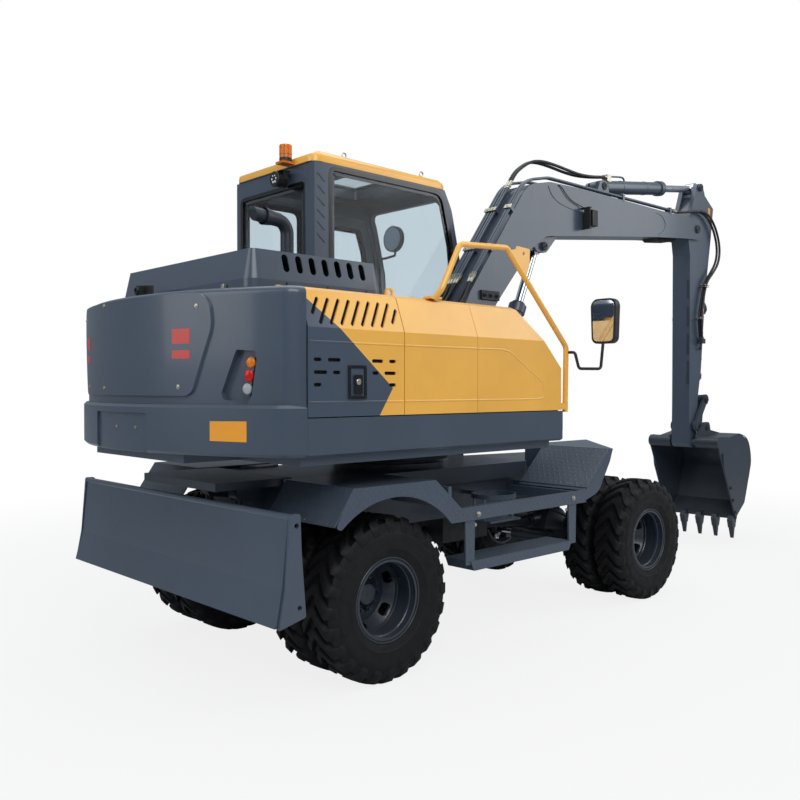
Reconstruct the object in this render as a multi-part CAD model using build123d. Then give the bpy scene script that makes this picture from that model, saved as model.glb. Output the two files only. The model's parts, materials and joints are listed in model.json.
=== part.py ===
from build123d import *
import math
import os

# Wheeled excavator with a rear dozer blade and a one-piece boom, all sizes in millimetres.
# Working frame: +X runs from the swing axis to the boom, +Y is left, +Z up, ground at z = 0.

# Wheels and axles
TYRE_R = 432
TYRE_W = 235
TYRE_PITCH = 270
TREAD_R = 404
TREAD_HALF = 104
LUG_TIP_HALF = 92
LUGS = 24
LUG_TURN = 3.4
LUG_FOOT_TURN = 4.3
BULGE_R = 330
BEAD_HALF = 65
BEAD_GAP = 0.3
SEAT_R = 205
RIM_LIP_R = 237
RIM_W = 180
RIM_SLOTS = 6
RIM_SLOT_R = 172
RIM_SLOT_TURN = 22
WHEEL_Y = 677
REAR_AXLE_X = -830
FRONT_AXLE_X = 1717
AXLE_Z = TYRE_R
HUB_R = 105
SPINDLE_R = 60
SHAFT_GAP = 0.1
AXLE_TUBE_R = 82
DIFF_R = 165
KINGPIN_Y = 500
KINGPIN_R = 24
STEER_ARM = 190

# Undercarriage
FRAME_HALF_W = 400
FRAME_TOP = 1020
FRAME_BOTTOM = 700
FRAME_REAR = -1120
FRAME_FRONT = 960
NOSE_HALF_W = 190
NOSE_FRONT = 1960
DECK_Y = 1000
DECK_T = 6
PEDESTAL_R = 300
RACE_R = 390
NOSE_BOTTOM = 640
RACE_Z = 1095
DECK_LEVEL = 1165

# Blade and its parallel linkage
BLADE_HALF_W = 1079
BLADE_T = 14
LINK_Y = 275
LINK_T = 40
LOWER_PIVOT = (-1010, 430)
LOWER_PIN = (-1500, 620)
LINK_RISE = 230
BLADE_CYL_BASE = (-1250, 950)
BLADE_CYL_PIN = (-1223, 517)
BLADE_CYL_Y = 150

# Upper structure
SIDE_Y = 1050
TAIL_R = 1875
TAIL_FLAT = 93.5
TAIL_FRONT = -round(math.sqrt(TAIL_R ** 2 - SIDE_Y ** 2) - TAIL_FLAT)
SKIRT_Z = 1217
PANEL_Z = 1390
HOUSE_TOP = 1990
BELT_TOP = 1445
SEAM_1 = -856
SEAM_2 = -308
PANEL_NOSE = 451
SKIRT_NOSE = 468
PANEL_T = 8
CREASE_Z = 1800
DECK_T_UP = 40

# Hood and exhaust
HOOD_HALF_W = 680
DOOR_HINGE_Y = HOOD_HALF_W + 65
RAIL_IN_Y = HOOD_HALF_W - 40
HOOD_REAR = TAIL_FRONT - 60
HOOD_FRONT = -660
HOOD_Z = 2008
HOOD_H = 190
HOOD_SKIRT = 42
EXHAUST_R = 36

# Cab
CAB_REAR = -485
CAB_RIGHT = 160
CAB_LEFT = 1050
CAB_FLOOR = 1250
ROOF_TOP = 3045
CAB_WALL = 50
GLASS_T = 6
DOOR_REAR = 130
DOOR_FRONT = 800
DOOR_LOW = 1310
DOOR_HIGH = 2850

# Boom, arm and bucket
BOOM_FOOT = (400, 1640)
ARM_PIVOT = (3916, 3047)
BOOM_CYL_BASE = (1007, 1400)
BOOM_CYL_PIN = (1550, 2617)
ARM_CYL_BASE = (2404, 3222)
ARM_CYL_PIN = (4020, 3465)
BUCKET_CYL_BASE = (4200, 2300)
ROCKER_PIVOT = (3918, 1154)
ROCKER_PIN = (4110, 1409)
LINK_PIN = (4078, 1137)
BUCKET_PIVOT = (3919, 1001)
BOOM_HALF_W = 120
BOOM_BACK_LOW = (669, 2197)
BOOM_BACK_TOP = (1310, 3052)
BOOM_CREST = (1587, 3114)
PIPE_R = 10
PIPE_RISE = 34
PIPE_PAIR = 24
ARM_HALF_W = 90
BUCKET_HALF_W = 360
PLATE_T = 12
PIN_R = 28
PIN_GAP = 0.1

REAR_END = -TAIL_R
FRONT_END = 4581.25
ORIGIN_X = (FRONT_END + REAR_END) / 2

NODES = {}


def outline(points):
    """Closed face of straight runs; a third value in a point rounds that corner."""
    ends = []
    edges = []
    count = len(points)
    for i, point in enumerate(points):
        here = Vector(point[0], point[1])
        if len(point) == 2:
            ends.append((here, here))
            continue
        before = Vector(*points[i - 1][:2]) - here
        after = Vector(*points[(i + 1) % count][:2]) - here
        half = math.radians(before.get_angle(after)) / 2
        reach = point[2] / math.tan(half)
        towards = (before.normalized() + after.normalized()).normalized()
        start = here + before.normalized() * reach
        end = here + after.normalized() * reach
        middle = here + towards * (point[2] / math.sin(half) - point[2])
        edges.append(ThreePointArc(start, middle, end))
        ends.append((start, end))
    for i in range(count):
        start = ends[i][1]
        end = ends[(i + 1) % count][0]
        if (end - start).length > 0.01:
            edges.append(Line(start, end))
    return make_face(edges)


def slab_y(points, y0, y1):
    """Solid with an X-Z outline between two Y planes."""
    return extrude(Plane.XZ.offset(-y1) * outline(points), y1 - y0)


def slab_x(points, x0, x1):
    """Solid with a Y-Z outline between two X planes."""
    return extrude(Plane.YZ.offset(x0) * outline(points), x1 - x0)


def slab_z(points, z0, z1):
    """Solid with an X-Y outline between two Z planes."""
    return extrude(Plane.XY.offset(z0) * outline(points), z1 - z0)


def block(x0, x1, y0, y1, z0, z1):
    middle = ((x0 + x1) / 2, (y0 + y1) / 2, (z0 + z1) / 2)
    return Pos(*middle) * Box(x1 - x0, y1 - y0, z1 - z0)


def bar(start, end, radius):
    """Round bar between two points."""
    along = Vector(*end) - Vector(*start)
    return Plane(origin=start, z_dir=along) * Cylinder(
            radius, along.length, align=(Align.CENTER, Align.CENTER, Align.MIN))


def pin_y(at, radius, y0, y1):
    """Round bar along Y at an (x, z) place."""
    return bar((at[0], y0, at[1]), (at[0], y1, at[1]), radius)


def slot_y(start, end, width, y0, y1):
    """Round-ended slot between two (x, z) places, cut along Y."""
    along = Vector(end[0] - start[0], end[1] - start[1])
    side = Vector(-along.Y, along.X).normalized() * (width / 2)
    body = slab_y([(start[0] + side.X, start[1] + side.Y), (end[0] + side.X, end[1] + side.Y),
                   (end[0] - side.X, end[1] - side.Y), (start[0] - side.X, start[1] - side.Y)], y0, y1)
    return body + pin_y(start, width / 2, y0, y1) + pin_y(end, width / 2, y0, y1)


def mirrored(shape):
    return mirror(shape, about=Plane.XZ)


def node(name, *shapes):
    whole = Part()
    for shape in shapes:
        whole += shape
    NODES[name] = whole


# Tyres and rims

def facet(*corners):
    return Face(Wire.make_polygon([Vector(*corner) for corner in corners], close=True))


def tyre(offset):
    """Tyre of flat facets with V-shaped lugs right across; the axle is the Y axis."""
    pitch = 360 / LUGS
    tip_r = TYRE_R / math.cos(math.radians(LUG_TURN))
    bead_r = (SEAT_R + BEAD_GAP) / math.cos(math.radians(pitch))
    bulge_y = TYRE_W / 2

    def place(radius, turn, y):
        """Point at an angle from straight down towards the rear."""
        return (-radius * math.sin(math.radians(turn)), offset + y, -radius * math.cos(math.radians(turn)))

    faces = []
    for lug in range(LUGS):
        end = lug * pitch
        point = end + pitch
        for side in (-1, 1):
            tip = [place(tip_r, point + turn, 0) for turn in (-LUG_TURN, LUG_TURN)]
            tip += [place(tip_r, end + turn, side * LUG_TIP_HALF) for turn in (LUG_TURN, -LUG_TURN)]
            foot = [place(TREAD_R, point + turn, 0) for turn in (-LUG_FOOT_TURN, LUG_FOOT_TURN)]
            foot += [place(TREAD_R, end + turn, side * TREAD_HALF) for turn in (LUG_FOOT_TURN,
                                                                                -LUG_FOOT_TURN)]
            next_point = place(TREAD_R, point + pitch - LUG_FOOT_TURN, 0)
            next_end = place(TREAD_R, end + pitch - LUG_FOOT_TURN, side * TREAD_HALF)
            bulge = [place(BULGE_R, end + step * pitch, side * bulge_y) for step in (0, 1, 2)]
            faces += [facet(tip[0], tip[1], tip[2]), facet(tip[0], tip[2], tip[3])]
            faces += [facet(foot[0], tip[0], tip[3]), facet(foot[0], tip[3], foot[3])]
            faces += [facet(foot[1], tip[1], tip[2]), facet(foot[1], tip[2], foot[2])]
            faces += [facet(foot[1], next_point, next_end), facet(foot[1], next_end, foot[2])]
            faces.append(facet(foot[3], foot[2], tip[2], tip[3]))
            faces.append(facet(foot[3], foot[2], bulge[0]))
            faces.append(facet(foot[2], next_end, bulge[1], bulge[0]))
            if lug % 2 == 0:
                bead = [place(bead_r, end + step * pitch, side * BEAD_HALF) for step in (0, 2)]
                faces += [facet(bead[0], bulge[0], bulge[1]), facet(bead[0], bulge[1], bead[1]),
                          facet(bead[1], bulge[1], bulge[2])]
        if lug % 2 == 0:
            faces.append(facet(place(bead_r, end, -BEAD_HALF), place(bead_r, end + 2 * pitch, -BEAD_HALF),
                               place(bead_r, end + 2 * pitch, BEAD_HALF), place(bead_r, end, BEAD_HALF)))
    return Solid(Shell(faces))


def rim_ring(offset):
    half = RIM_W / 2
    lip = 11
    return [(SEAT_R - 10, offset - half), (RIM_LIP_R, offset - half), (RIM_LIP_R, offset - half + lip),
            (SEAT_R, offset - half + 16), (SEAT_R, offset + half - 16), (RIM_LIP_R, offset + half - lip),
            (RIM_LIP_R, offset + half), (SEAT_R - 10, offset + half)]


HUB = [(SPINDLE_R + SHAFT_GAP, -130), (HUB_R, -130), (HUB_R, -12), (152, -12), (152, 12), (HUB_R, 12),
       (66, 22),
       (54, 60), (0, 60), (0, 2), (SPINDLE_R + SHAFT_GAP, 2)]
CONE = [(150, 12), (150, 0), (158, 6), (194, 52), (SEAT_R - 2, 52), (SEAT_R - 2, 66), (SEAT_R - 8, 72)]
HALF_PITCH = TYRE_PITCH / 2


def rim_slot(turn):
    """Round-ended window through both cones, at an angle from the front of the wheel."""
    return Rot(0, -turn, 0) * extrude(Plane.XZ * Pos(RIM_SLOT_R, 0) * Rot(0, 0, 90) * SlotOverall(74, 32),
                                      90, both=True)


windows = [rim_slot(RIM_SLOT_TURN + 360 / RIM_SLOTS * count) for count in range(RIM_SLOTS)]
cones = revolve(outline(CONE), Axis.Y)
cones += mirrored(cones)
for window in windows:
    cones -= window
wheel = revolve(outline(HUB), Axis.Y) + cones
wheel += revolve(outline(rim_ring(-HALF_PITCH)), Axis.Y)
wheel += revolve(outline(rim_ring(HALF_PITCH)), Axis.Y)
twins = [tyre(-HALF_PITCH), tyre(HALF_PITCH)]
for end_name, axle_x in (("rear", REAR_AXLE_X), ("front", FRONT_AXLE_X)):
    for side_name, side in (("left", 1), ("right", -1)):
        seat_of = Pos(axle_x, side * WHEEL_Y, AXLE_Z)
        node(f"tyres_{end_name}_{side_name}", *[seat_of * twin for twin in twins])
        node(f"rim_{end_name}_{side_name}", seat_of * (wheel if side > 0 else mirrored(wheel)))


# Axles, knuckles and steering

def spread(profile, axle_x):
    """Body of revolution about an axle's line from a (radius, y) half profile, both sides."""
    half = Pos(axle_x, 0, AXLE_Z) * revolve(outline(profile), Axis.Y)
    return half + mirrored(half)


SPINDLE_END = WHEEL_Y
HUB_INNER = WHEEL_Y - 130
rear_profile = [(0, 0), (DIFF_R, 0), (DIFF_R - 15, 90), (AXLE_TUBE_R, 190), (AXLE_TUBE_R, HUB_INNER - 60),
                (HUB_R, HUB_INNER - 50), (HUB_R, HUB_INNER - 3), (SPINDLE_R, HUB_INNER - 3),
                (SPINDLE_R, SPINDLE_END), (0, SPINDLE_END)]
rear_feet = [block(REAR_AXLE_X - 70, REAR_AXLE_X + 70, y - 45, y + 45, AXLE_Z, FRAME_BOTTOM)
             for y in (-300, 300)]
NOSE_LEN = 230
NOSE_Z = AXLE_Z + 20
rear_nose = bar((REAR_AXLE_X + 80, 0, NOSE_Z), (REAR_AXLE_X + NOSE_LEN, 0, NOSE_Z), 62)
node("axle_rear", spread(rear_profile, REAR_AXLE_X), rear_nose, *rear_feet)

KNUCKLE_HALF_H = 108
YOKE_HALF_H = 150
front_profile = [(0, 0), (DIFF_R, 0), (DIFF_R - 15, 90), (AXLE_TUBE_R - 8, 190), (AXLE_TUBE_R - 8, 400),
                 (0, 400)]
YOKE_HALF_L = 36
yoke = slab_y([(FRONT_AXLE_X - YOKE_HALF_L, AXLE_Z - YOKE_HALF_H),
               (FRONT_AXLE_X + YOKE_HALF_L, AXLE_Z - YOKE_HALF_H),
               (FRONT_AXLE_X + YOKE_HALF_L, AXLE_Z + YOKE_HALF_H),
               (FRONT_AXLE_X - YOKE_HALF_L, AXLE_Z + YOKE_HALF_H)], 390, KINGPIN_Y + 42)
yoke -= block(FRONT_AXLE_X - 100, FRONT_AXLE_X + 100, KINGPIN_Y - 78, KINGPIN_Y + 80,
              AXLE_Z - KNUCKLE_HALF_H - 1, AXLE_Z + KNUCKLE_HALF_H + 1)
yoke -= bar((FRONT_AXLE_X, KINGPIN_Y, AXLE_Z - 200), (FRONT_AXLE_X, KINGPIN_Y, AXLE_Z + 200),
            KINGPIN_R + SHAFT_GAP)
STEER_X = FRONT_AXLE_X - STEER_ARM
STEER_Z = AXLE_Z - 62
steer_mount = block(STEER_X - 30, FRONT_AXLE_X - 100, -120, 120, AXLE_Z - 100, AXLE_Z - 20)
steer_barrel = bar((STEER_X, -180, STEER_Z), (STEER_X, 180, STEER_Z), 46)
steer_bore = bar((STEER_X, -200, STEER_Z), (STEER_X, 200, STEER_Z), 20 + SHAFT_GAP)
trunnion = block(FRONT_AXLE_X - 60, FRONT_AXLE_X + 60, -80, 80, AXLE_Z + 100, AXLE_Z + 190)
front_nose = bar((FRONT_AXLE_X - 80, 0, NOSE_Z + 40), (FRONT_AXLE_X - NOSE_LEN, 0, NOSE_Z + 40), 56)
node("axle_front", spread(front_profile, FRONT_AXLE_X), yoke, mirrored(yoke), trunnion, front_nose,
     (steer_mount + steer_barrel) - steer_bore)

for side_name, side in (("left", 1), ("right", -1)):
    upright = slab_y([(FRONT_AXLE_X - 45, AXLE_Z - KNUCKLE_HALF_H, 20),
                      (FRONT_AXLE_X + 45, AXLE_Z - KNUCKLE_HALF_H, 20),
                      (FRONT_AXLE_X + 45, AXLE_Z + KNUCKLE_HALF_H, 20),
                      (FRONT_AXLE_X - 45, AXLE_Z + KNUCKLE_HALF_H, 20)],
                     KINGPIN_Y - 42, KINGPIN_Y + 42)
    kingpin = bar((FRONT_AXLE_X, KINGPIN_Y, AXLE_Z - YOKE_HALF_H),
                  (FRONT_AXLE_X, KINGPIN_Y, AXLE_Z + YOKE_HALF_H), KINGPIN_R)
    spindle = bar((FRONT_AXLE_X, KINGPIN_Y, AXLE_Z), (FRONT_AXLE_X, SPINDLE_END, AXLE_Z), SPINDLE_R)
    lever = bar((FRONT_AXLE_X - 44, KINGPIN_Y - 6, STEER_Z), (STEER_X, 400, STEER_Z), 20)
    eye = bar((STEER_X, 400, STEER_Z - 24), (STEER_X, 400, STEER_Z + 24), 30)
    shape = upright + kingpin + spindle + lever + eye
    node(f"knuckle_{side_name}", shape if side > 0 else mirrored(shape))

rod_ends = [bar((STEER_X, y, STEER_Z - 70), (STEER_X, y, STEER_Z - 32), 20) for y in (-366, 366)]
rod_drops = [bar((STEER_X, y, STEER_Z), (STEER_X, y * 1.1, STEER_Z - 50), 14) for y in (-325, 325)]
node("steering_rod", bar((STEER_X, -336, STEER_Z), (STEER_X, 336, STEER_Z), 20), *rod_drops, *rod_ends)

# Chassis

chassis = block(FRAME_REAR, FRAME_FRONT, -FRAME_HALF_W, FRAME_HALF_W, FRAME_BOTTOM, 930)
chassis += slab_z([(FRAME_REAR, -450, 40), (FRAME_FRONT - 40, -450, 60), (FRAME_FRONT - 40, 450, 60),
                   (FRAME_REAR, 450, 40)], 920, FRAME_TOP)
chassis += slab_y([(900, 700), (FRONT_AXLE_X - 200, NOSE_BOTTOM), (NOSE_FRONT, NOSE_BOTTOM),
                   (NOSE_FRONT, 900, 60), (900, 930)],
                  -NOSE_HALF_W, NOSE_HALF_W)
chassis += slab_y([(880, 900), (1840, 900), (1840, 990, 30), (1000, 1005), (880, FRAME_TOP)], -300, 300)
chassis += bar((0, 0, FRAME_TOP), (0, 0, RACE_Z + 55), PEDESTAL_R)
chassis += bar((0, 0, FRAME_TOP), (0, 0, FRAME_TOP + 30), PEDESTAL_R + 60)
chassis += block(FRONT_AXLE_X - 60, FRONT_AXLE_X + 60, -80, 80, AXLE_Z + 190, NOSE_BOTTOM + 10)
for y in (-LINK_Y, LINK_Y):
    chassis -= block(FRAME_REAR - 20, LOWER_PIVOT[0] + 70, y - LINK_T / 2 - 2, y + LINK_T / 2 + 2, 600, 790)
    for cheek in (y - LINK_T / 2 - 18, y + LINK_T / 2 + 2):
        chassis += slab_y([(FRAME_REAR + 40, FRAME_TOP - 100), (LOWER_PIVOT[0] - 50, 620),
                           (LOWER_PIVOT[0] - 55, 380, 40),
                           (LOWER_PIVOT[0] + 55, 380, 40), (LOWER_PIVOT[0] + 60, FRAME_TOP - 100)], cheek,
                          cheek + 16)
for y in (-BLADE_CYL_Y, BLADE_CYL_Y):
    for cheek in (y - 48, y + 32):
        chassis += slab_y([(FRAME_REAR + 5, 890), (BLADE_CYL_BASE[0] - 30, 914, 20),
                           (BLADE_CYL_BASE[0] - 40, 1000, 20),
                           (FRAME_REAR + 5, 1000)], cheek, cheek + 16)
pivots = [pin_y((LOWER_PIVOT[0], LOWER_PIVOT[1] + rise), PIN_R, y - 40, y + 40)
          for y in (-LINK_Y, LINK_Y) for rise in (0, LINK_RISE)]
pivots += [pin_y(BLADE_CYL_BASE, 22, y - 48, y + 48) for y in (-BLADE_CYL_Y, BLADE_CYL_Y)]
node("chassis", chassis, *pivots)

cover = block(-1530, -1060, -380, 380, 1034, 1042)
cover += block(-1530, -1522, -380, 380, 1000, 1042)
cover += [block(-1530, FRAME_REAR, y - 4, y + 4, 1000, 1042) for y in (-376, 376)]
cover += [block(FRAME_REAR, -1060, y - 8, y + 8, FRAME_TOP, 1036) for y in (-300, 300)]
node("rear_cover", cover)

rear_flange = REAR_AXLE_X + NOSE_LEN
front_flange = FRONT_AXLE_X - NOSE_LEN
node("driveline", block(330, 780, -180, 180, 480, FRAME_BOTTOM),
     bar((rear_flange, 0, NOSE_Z), (rear_flange + 30, 0, NOSE_Z), 52),
     bar((335, 0, 540), (rear_flange + 15, 0, NOSE_Z), 34),
     bar((front_flange, 0, NOSE_Z + 40), (front_flange - 30, 0, NOSE_Z + 40), 48),
     bar((775, 0, 540), (front_flange - 15, 0, NOSE_Z + 40), 34))

# Fender, rail and step of one side, made on the right

ARCH = (-865, 425, 550)
RAIL_TOP = 870
RAIL_LOW = 796
STEP_Z = 550
side_plate = slab_y([(-1261, 850, 20), (-1146, 1040), (-578, 1039), (-380, RAIL_TOP), (790, RAIL_TOP),
                     (1055, 1122),
                     (1095, 1122), (1060, 1040), (930, 850, 120), (740, RAIL_LOW), (-455, RAIL_LOW, 12)],
                    -DECK_Y, -DECK_Y + DECK_T)
side_plate -= pin_y((ARCH[0], ARCH[1]), ARCH[2], -DECK_Y - 10, -DECK_Y + 20)
skin = slab_y([(-1265, 868), (-1261, 862), (-1143, 1034), (-580, 1033), (-390, RAIL_TOP - 6),
               (-386, RAIL_TOP),
               (-578, 1039), (-1146, 1040)], -DECK_Y, -450)
front_skin = slab_y([(786, RAIL_TOP), (794, RAIL_TOP - 5), (1058, 1116), (1055, 1122)], -DECK_Y, -460)
front_top = slab_z([(1053, -DECK_Y), (1095, -DECK_Y), (1810, -302), (1053, -302)], 1116, 1122)
front_web = block(1053, 1060, -460, -300, 960, 1118)
rail_bar = block(-380, 790, -DECK_Y, -DECK_Y + 40, RAIL_LOW, RAIL_LOW + 8) + block(-380, 790, -DECK_Y,
        -DECK_Y + 40, RAIL_TOP - 8, RAIL_TOP)
cross_bars = [block(x - 12, x + 12, -DECK_Y + 2, inner, z, z + 60)
              for x, z, inner in ((-470, 935, -450), (740, 805, -FRAME_HALF_W), (810, 830, -FRAME_HALF_W))]
hangers = [slab_y([(x - 40, RAIL_LOW), (x + 40, RAIL_LOW), (x + 35, STEP_Z), (x - 35, STEP_Z)],
                  -DECK_Y + 10, -DECK_Y + 22)
           for x in (-300, 655)]
step = slab_y([(-275, STEP_Z - 36, 10), (610, STEP_Z - 36, 10), (640, STEP_Z + 20), (-300, STEP_Z + 20)],
              -DECK_Y + 4, -DECK_Y + 200)
deck = side_plate + skin + front_skin + front_top + front_web + rail_bar + step
for piece in cross_bars + hangers:
    deck += piece
hoop = bar((285, -660, 840), (285, -660, 868), 140) - bar((285, -660, 830), (285, -660, 880), 132)
hoop += block(140, 430, -760, -560, 700, 712)
hoop += [block(x - 10, x + 10, y - 4, y + 4, 705, 845) for x in (152, 418) for y in (-700, -620)]
hoop += block(282, 298, -530, -FRAME_HALF_W, 842, 866)
deck += hoop
node("deck_right", deck)
node("deck_left", mirrored(deck - hoop))

# Blade, parallel arms and links, twin cylinders

BACK = BLADE_T
face = [(-1571, 955), (-1604, 638), (-1637, 472), (-1637 + BACK, 472), (-1604 + BACK, 638),
        (-1571 + BACK, 955)]
blade = slab_y(face, -BLADE_HALF_W, BLADE_HALF_W)
blade += pin_y((-1560, 950), 16, -BLADE_HALF_W, BLADE_HALF_W)
END_HOLES = ((-1541, 914), (-1524, 548))
END_HOLE_R = 12
end_plate = slab_y([(-1574, 966, 12), (-1520, 966, 15), (-1514, 800), (-1489, 500, 12), (-1633, 466),
                    (-1601, 638)],
                   -BLADE_HALF_W, -BLADE_HALF_W + 20)
end_holes = [pin_y(at, END_HOLE_R, -BLADE_HALF_W - 5, -BLADE_HALF_W + 30) for at in END_HOLES]
for hole in end_holes:
    end_plate -= hole
blade += end_plate + mirrored(end_plate)
blade += slab_y([(-1592, 840), (-1558, 840), (-1558, 600), (-1602, 600)], -700, 700)
UPPER_PIN = (LOWER_PIN[0], LOWER_PIN[1] + LINK_RISE)
for y in (-LINK_Y, LINK_Y):
    for cheek in (y - LINK_T / 2 - 18, y + LINK_T / 2 + 2):
        blade += slab_y([(-1560, 560), (LOWER_PIN[0] + 10, 570, 20), (LOWER_PIN[0] + 45, 620, 30),
                         (UPPER_PIN[0] + 45, 850, 30),
                         (UPPER_PIN[0] + 10, 895, 20), (-1560, 900)], cheek, cheek + 16)
blade_pins = [pin_y((LOWER_PIN[0], LOWER_PIN[1] + rise), PIN_R, y - 40, y + 40)
              for y in (-LINK_Y, LINK_Y) for rise in (0, LINK_RISE)]
node("blade", blade, *blade_pins)


def strap(start, end, radius, y0, y1, bore):
    """Flat link between two (x, z) pins, with round bored ends."""
    along = Vector(end[0] - start[0], end[1] - start[1])
    side = Vector(-along.Y, along.X).normalized() * (radius * 0.72)
    body = slab_y([(start[0] + side.X, start[1] + side.Y), (end[0] + side.X, end[1] + side.Y),
                   (end[0] - side.X, end[1] - side.Y), (start[0] - side.X, start[1] - side.Y)], y0, y1)
    body += pin_y(start, radius, y0, y1) + pin_y(end, radius, y0, y1)
    return body - pin_y(start, bore, y0 - 5, y1 + 5) - pin_y(end, bore, y0 - 5, y1 + 5)


def at_both(shape):
    return shape + mirrored(shape)


half_link = LINK_T / 2
arms = at_both(strap(LOWER_PIVOT, LOWER_PIN, 48, LINK_Y - half_link, LINK_Y + half_link, PIN_R + PIN_GAP))
arms += pin_y(BLADE_CYL_PIN, 34, 35 - BLADE_CYL_Y, BLADE_CYL_Y - 35) + pin_y(BLADE_CYL_PIN, 18, -LINK_Y,
                                                                             LINK_Y)
arms += at_both(pin_y(BLADE_CYL_PIN, 34, BLADE_CYL_Y + 35, LINK_Y))
node("blade_arms", arms)
upper_pivot = (LOWER_PIVOT[0], LOWER_PIVOT[1] + LINK_RISE)
node("blade_links", at_both(strap(upper_pivot, UPPER_PIN, 40, LINK_Y - half_link, LINK_Y + half_link,
                                  PIN_R + PIN_GAP)))


def cylinder_pair(base, pin, barrel_r, rod_r, barrel_end, eye_w, eye_r, pin_r, bore_gap, rod_bore,
                  stroke_in, y=0, rod_eye_r=0):
    """Barrel and rod of one hydraulic cylinder that points from base to pin."""
    rod_eye_r = rod_eye_r or eye_r
    start = Vector(base[0], y, base[1])
    end = Vector(pin[0], y, pin[1])
    way = (end - start).normalized()
    head = start + way * barrel_end
    barrel = bar(tuple(start + way * (eye_r * 0.8)), tuple(start + way * (eye_r + 40)), eye_w * 0.36)
    barrel += bar(tuple(start + way * (eye_r + 34)), tuple(head), barrel_r)
    barrel += bar(tuple(head - way * (barrel_r * 1.1)), tuple(head), barrel_r * 1.18)
    barrel += pin_y(base, eye_r, y - eye_w / 2, y + eye_w / 2)
    barrel -= pin_y(base, pin_r + bore_gap, y - eye_w, y + eye_w)
    inside = start + way * (eye_r + 50)
    barrel -= bar(tuple(inside), tuple(head + way * 5), rod_r + 0.2)
    rod = bar(tuple(inside + way * (5 + stroke_in)), tuple(end - way * (rod_eye_r * 0.9)), rod_r)
    rod += pin_y(pin, rod_eye_r, y - eye_w / 2, y + eye_w / 2)
    rod -= pin_y(pin, rod_bore, y - eye_w, y + eye_w)
    return barrel, rod


left = cylinder_pair(BLADE_CYL_BASE, BLADE_CYL_PIN, 38, 22, 345, 60, 36, 22, PIN_GAP, 34 + 12, 0,
                     BLADE_CYL_Y, 62)
node("blade_cylinder_barrels", left[0], mirrored(left[0]))
node("blade_cylinder_rods", left[1], mirrored(left[1]))

# Upper frame, swing race and boom brackets

BRACKET_IN = BOOM_HALF_W + 6
BRACKET_OUT = BRACKET_IN + 24
deck_plate = slab_z([(TAIL_FRONT + 2, -1000), (440, -1000, 60), (440, -BRACKET_OUT), (1080, -BRACKET_OUT),
                     (1080, BRACKET_OUT),
                     (860, BRACKET_OUT), (860, 1000, 60), (TAIL_FRONT + 2, 1000)], DECK_LEVEL,
                    DECK_LEVEL + DECK_T_UP)
deck_plate += block(115 - TAIL_R, TAIL_FRONT + 20, -480, 480, DECK_LEVEL, SKIRT_Z - 7)
DECK_UP = DECK_LEVEL + DECK_T_UP
RAIL_BOTTOM = 1960
race = bar((0, 0, RACE_Z), (0, 0, DECK_LEVEL), RACE_R) - bar((0, 0, RACE_Z - 5), (0, 0, DECK_LEVEL + 5),
                                                             PEDESTAL_R + 0.3)
bracket = slab_y([(-250, DECK_UP), (1080, DECK_UP), (1080, 1380, 40), (1050, 1465, 50), (930, 1470, 60),
                  (620, 1540, 80),
                  (500, 1745, 90), (300, 1745, 90), (150, 1560, 120)], BRACKET_IN, BRACKET_OUT)
frame = deck_plate + race + bracket + mirrored(bracket)
for x in (SEAM_1 + 6, SEAM_2 - 4):
    frame += slab_x([(-640, DECK_UP), (-980, DECK_UP), (-1042, 1400), (-1042, 1798), (-977.4, 1966.9),
                     (-952.6, 1982),
                     (-640, 1982)], x, x + 8)
for side in (-1, 1):
    frame += slab_x([(side * 640, DECK_UP), (side * 980, DECK_UP), (side * 1034, 1400), (side * 1034, 1796),
                     (side * 966, 1958),
                     (side * 640, RAIL_BOTTOM)], TAIL_FRONT + 6, TAIL_FRONT + 14)
frame += slab_x([(640, DECK_UP), (980, DECK_UP), (1042, 1400), (1042, 1799), (978, 1960),
                 (640, RAIL_BOTTOM)], -556, -548)
frame += pin_y(BOOM_FOOT, 42, -BRACKET_OUT, BRACKET_OUT)
cyl_boss = pin_y(BOOM_CYL_BASE, 60, 50.3, BRACKET_IN)
frame += cyl_boss + mirrored(cyl_boss) + pin_y(BOOM_CYL_BASE, 32, -BRACKET_OUT, BRACKET_OUT)
node("upper_frame", frame)

right_rail = block(TAIL_FRONT + 2, SEAM_1 + 2.5, -DOOR_HINGE_Y + 5, -RAIL_IN_Y, RAIL_BOTTOM, HOUSE_TOP)
left_rail = block(TAIL_FRONT + 2, -556, RAIL_IN_Y, DOOR_HINGE_Y - 5, RAIL_BOTTOM, HOUSE_TOP)
front_rail = block(-646, -600, -RAIL_IN_Y, RAIL_IN_Y, RAIL_BOTTOM, HOUSE_TOP)
left_strip = slab_x([(1050, PANEL_Z), (1050, CREASE_Z), (985, 1975, 20), (955, HOUSE_TOP),
                     (RAIL_IN_Y, HOUSE_TOP), (RAIL_IN_Y, 1982),
                     (950, 1982), (978, 1968), (1042, 1799), (1042, PANEL_Z)], -556, -492)
HOOD_AXIS = (-640, 2012)
HINGE_PIN_R = 8
hood_lugs = [block(HOOD_AXIS[0] - 10, HOOD_AXIS[0] + 10, y - 44, y - 36, HOUSE_TOP, HOOD_AXIS[1] + 10) +
             block(HOOD_AXIS[0] - 10, HOOD_AXIS[0] + 10, y + 36, y + 44, HOUSE_TOP, HOOD_AXIS[1] + 10) +
             pin_y(HOOD_AXIS, HINGE_PIN_R, y - 44, y + 44) for y in (-400, 400)]
WING_AXIS = (-DOOR_HINGE_Y + 5, HOUSE_TOP + 15)
WING_PIN_R = 8
WING_EYE_R = 13
RIGHT_HINGES = (TAIL_FRONT + 80, SEAM_1 - 84)
LEFT_HINGES = (TAIL_FRONT + 80, -640)


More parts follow.
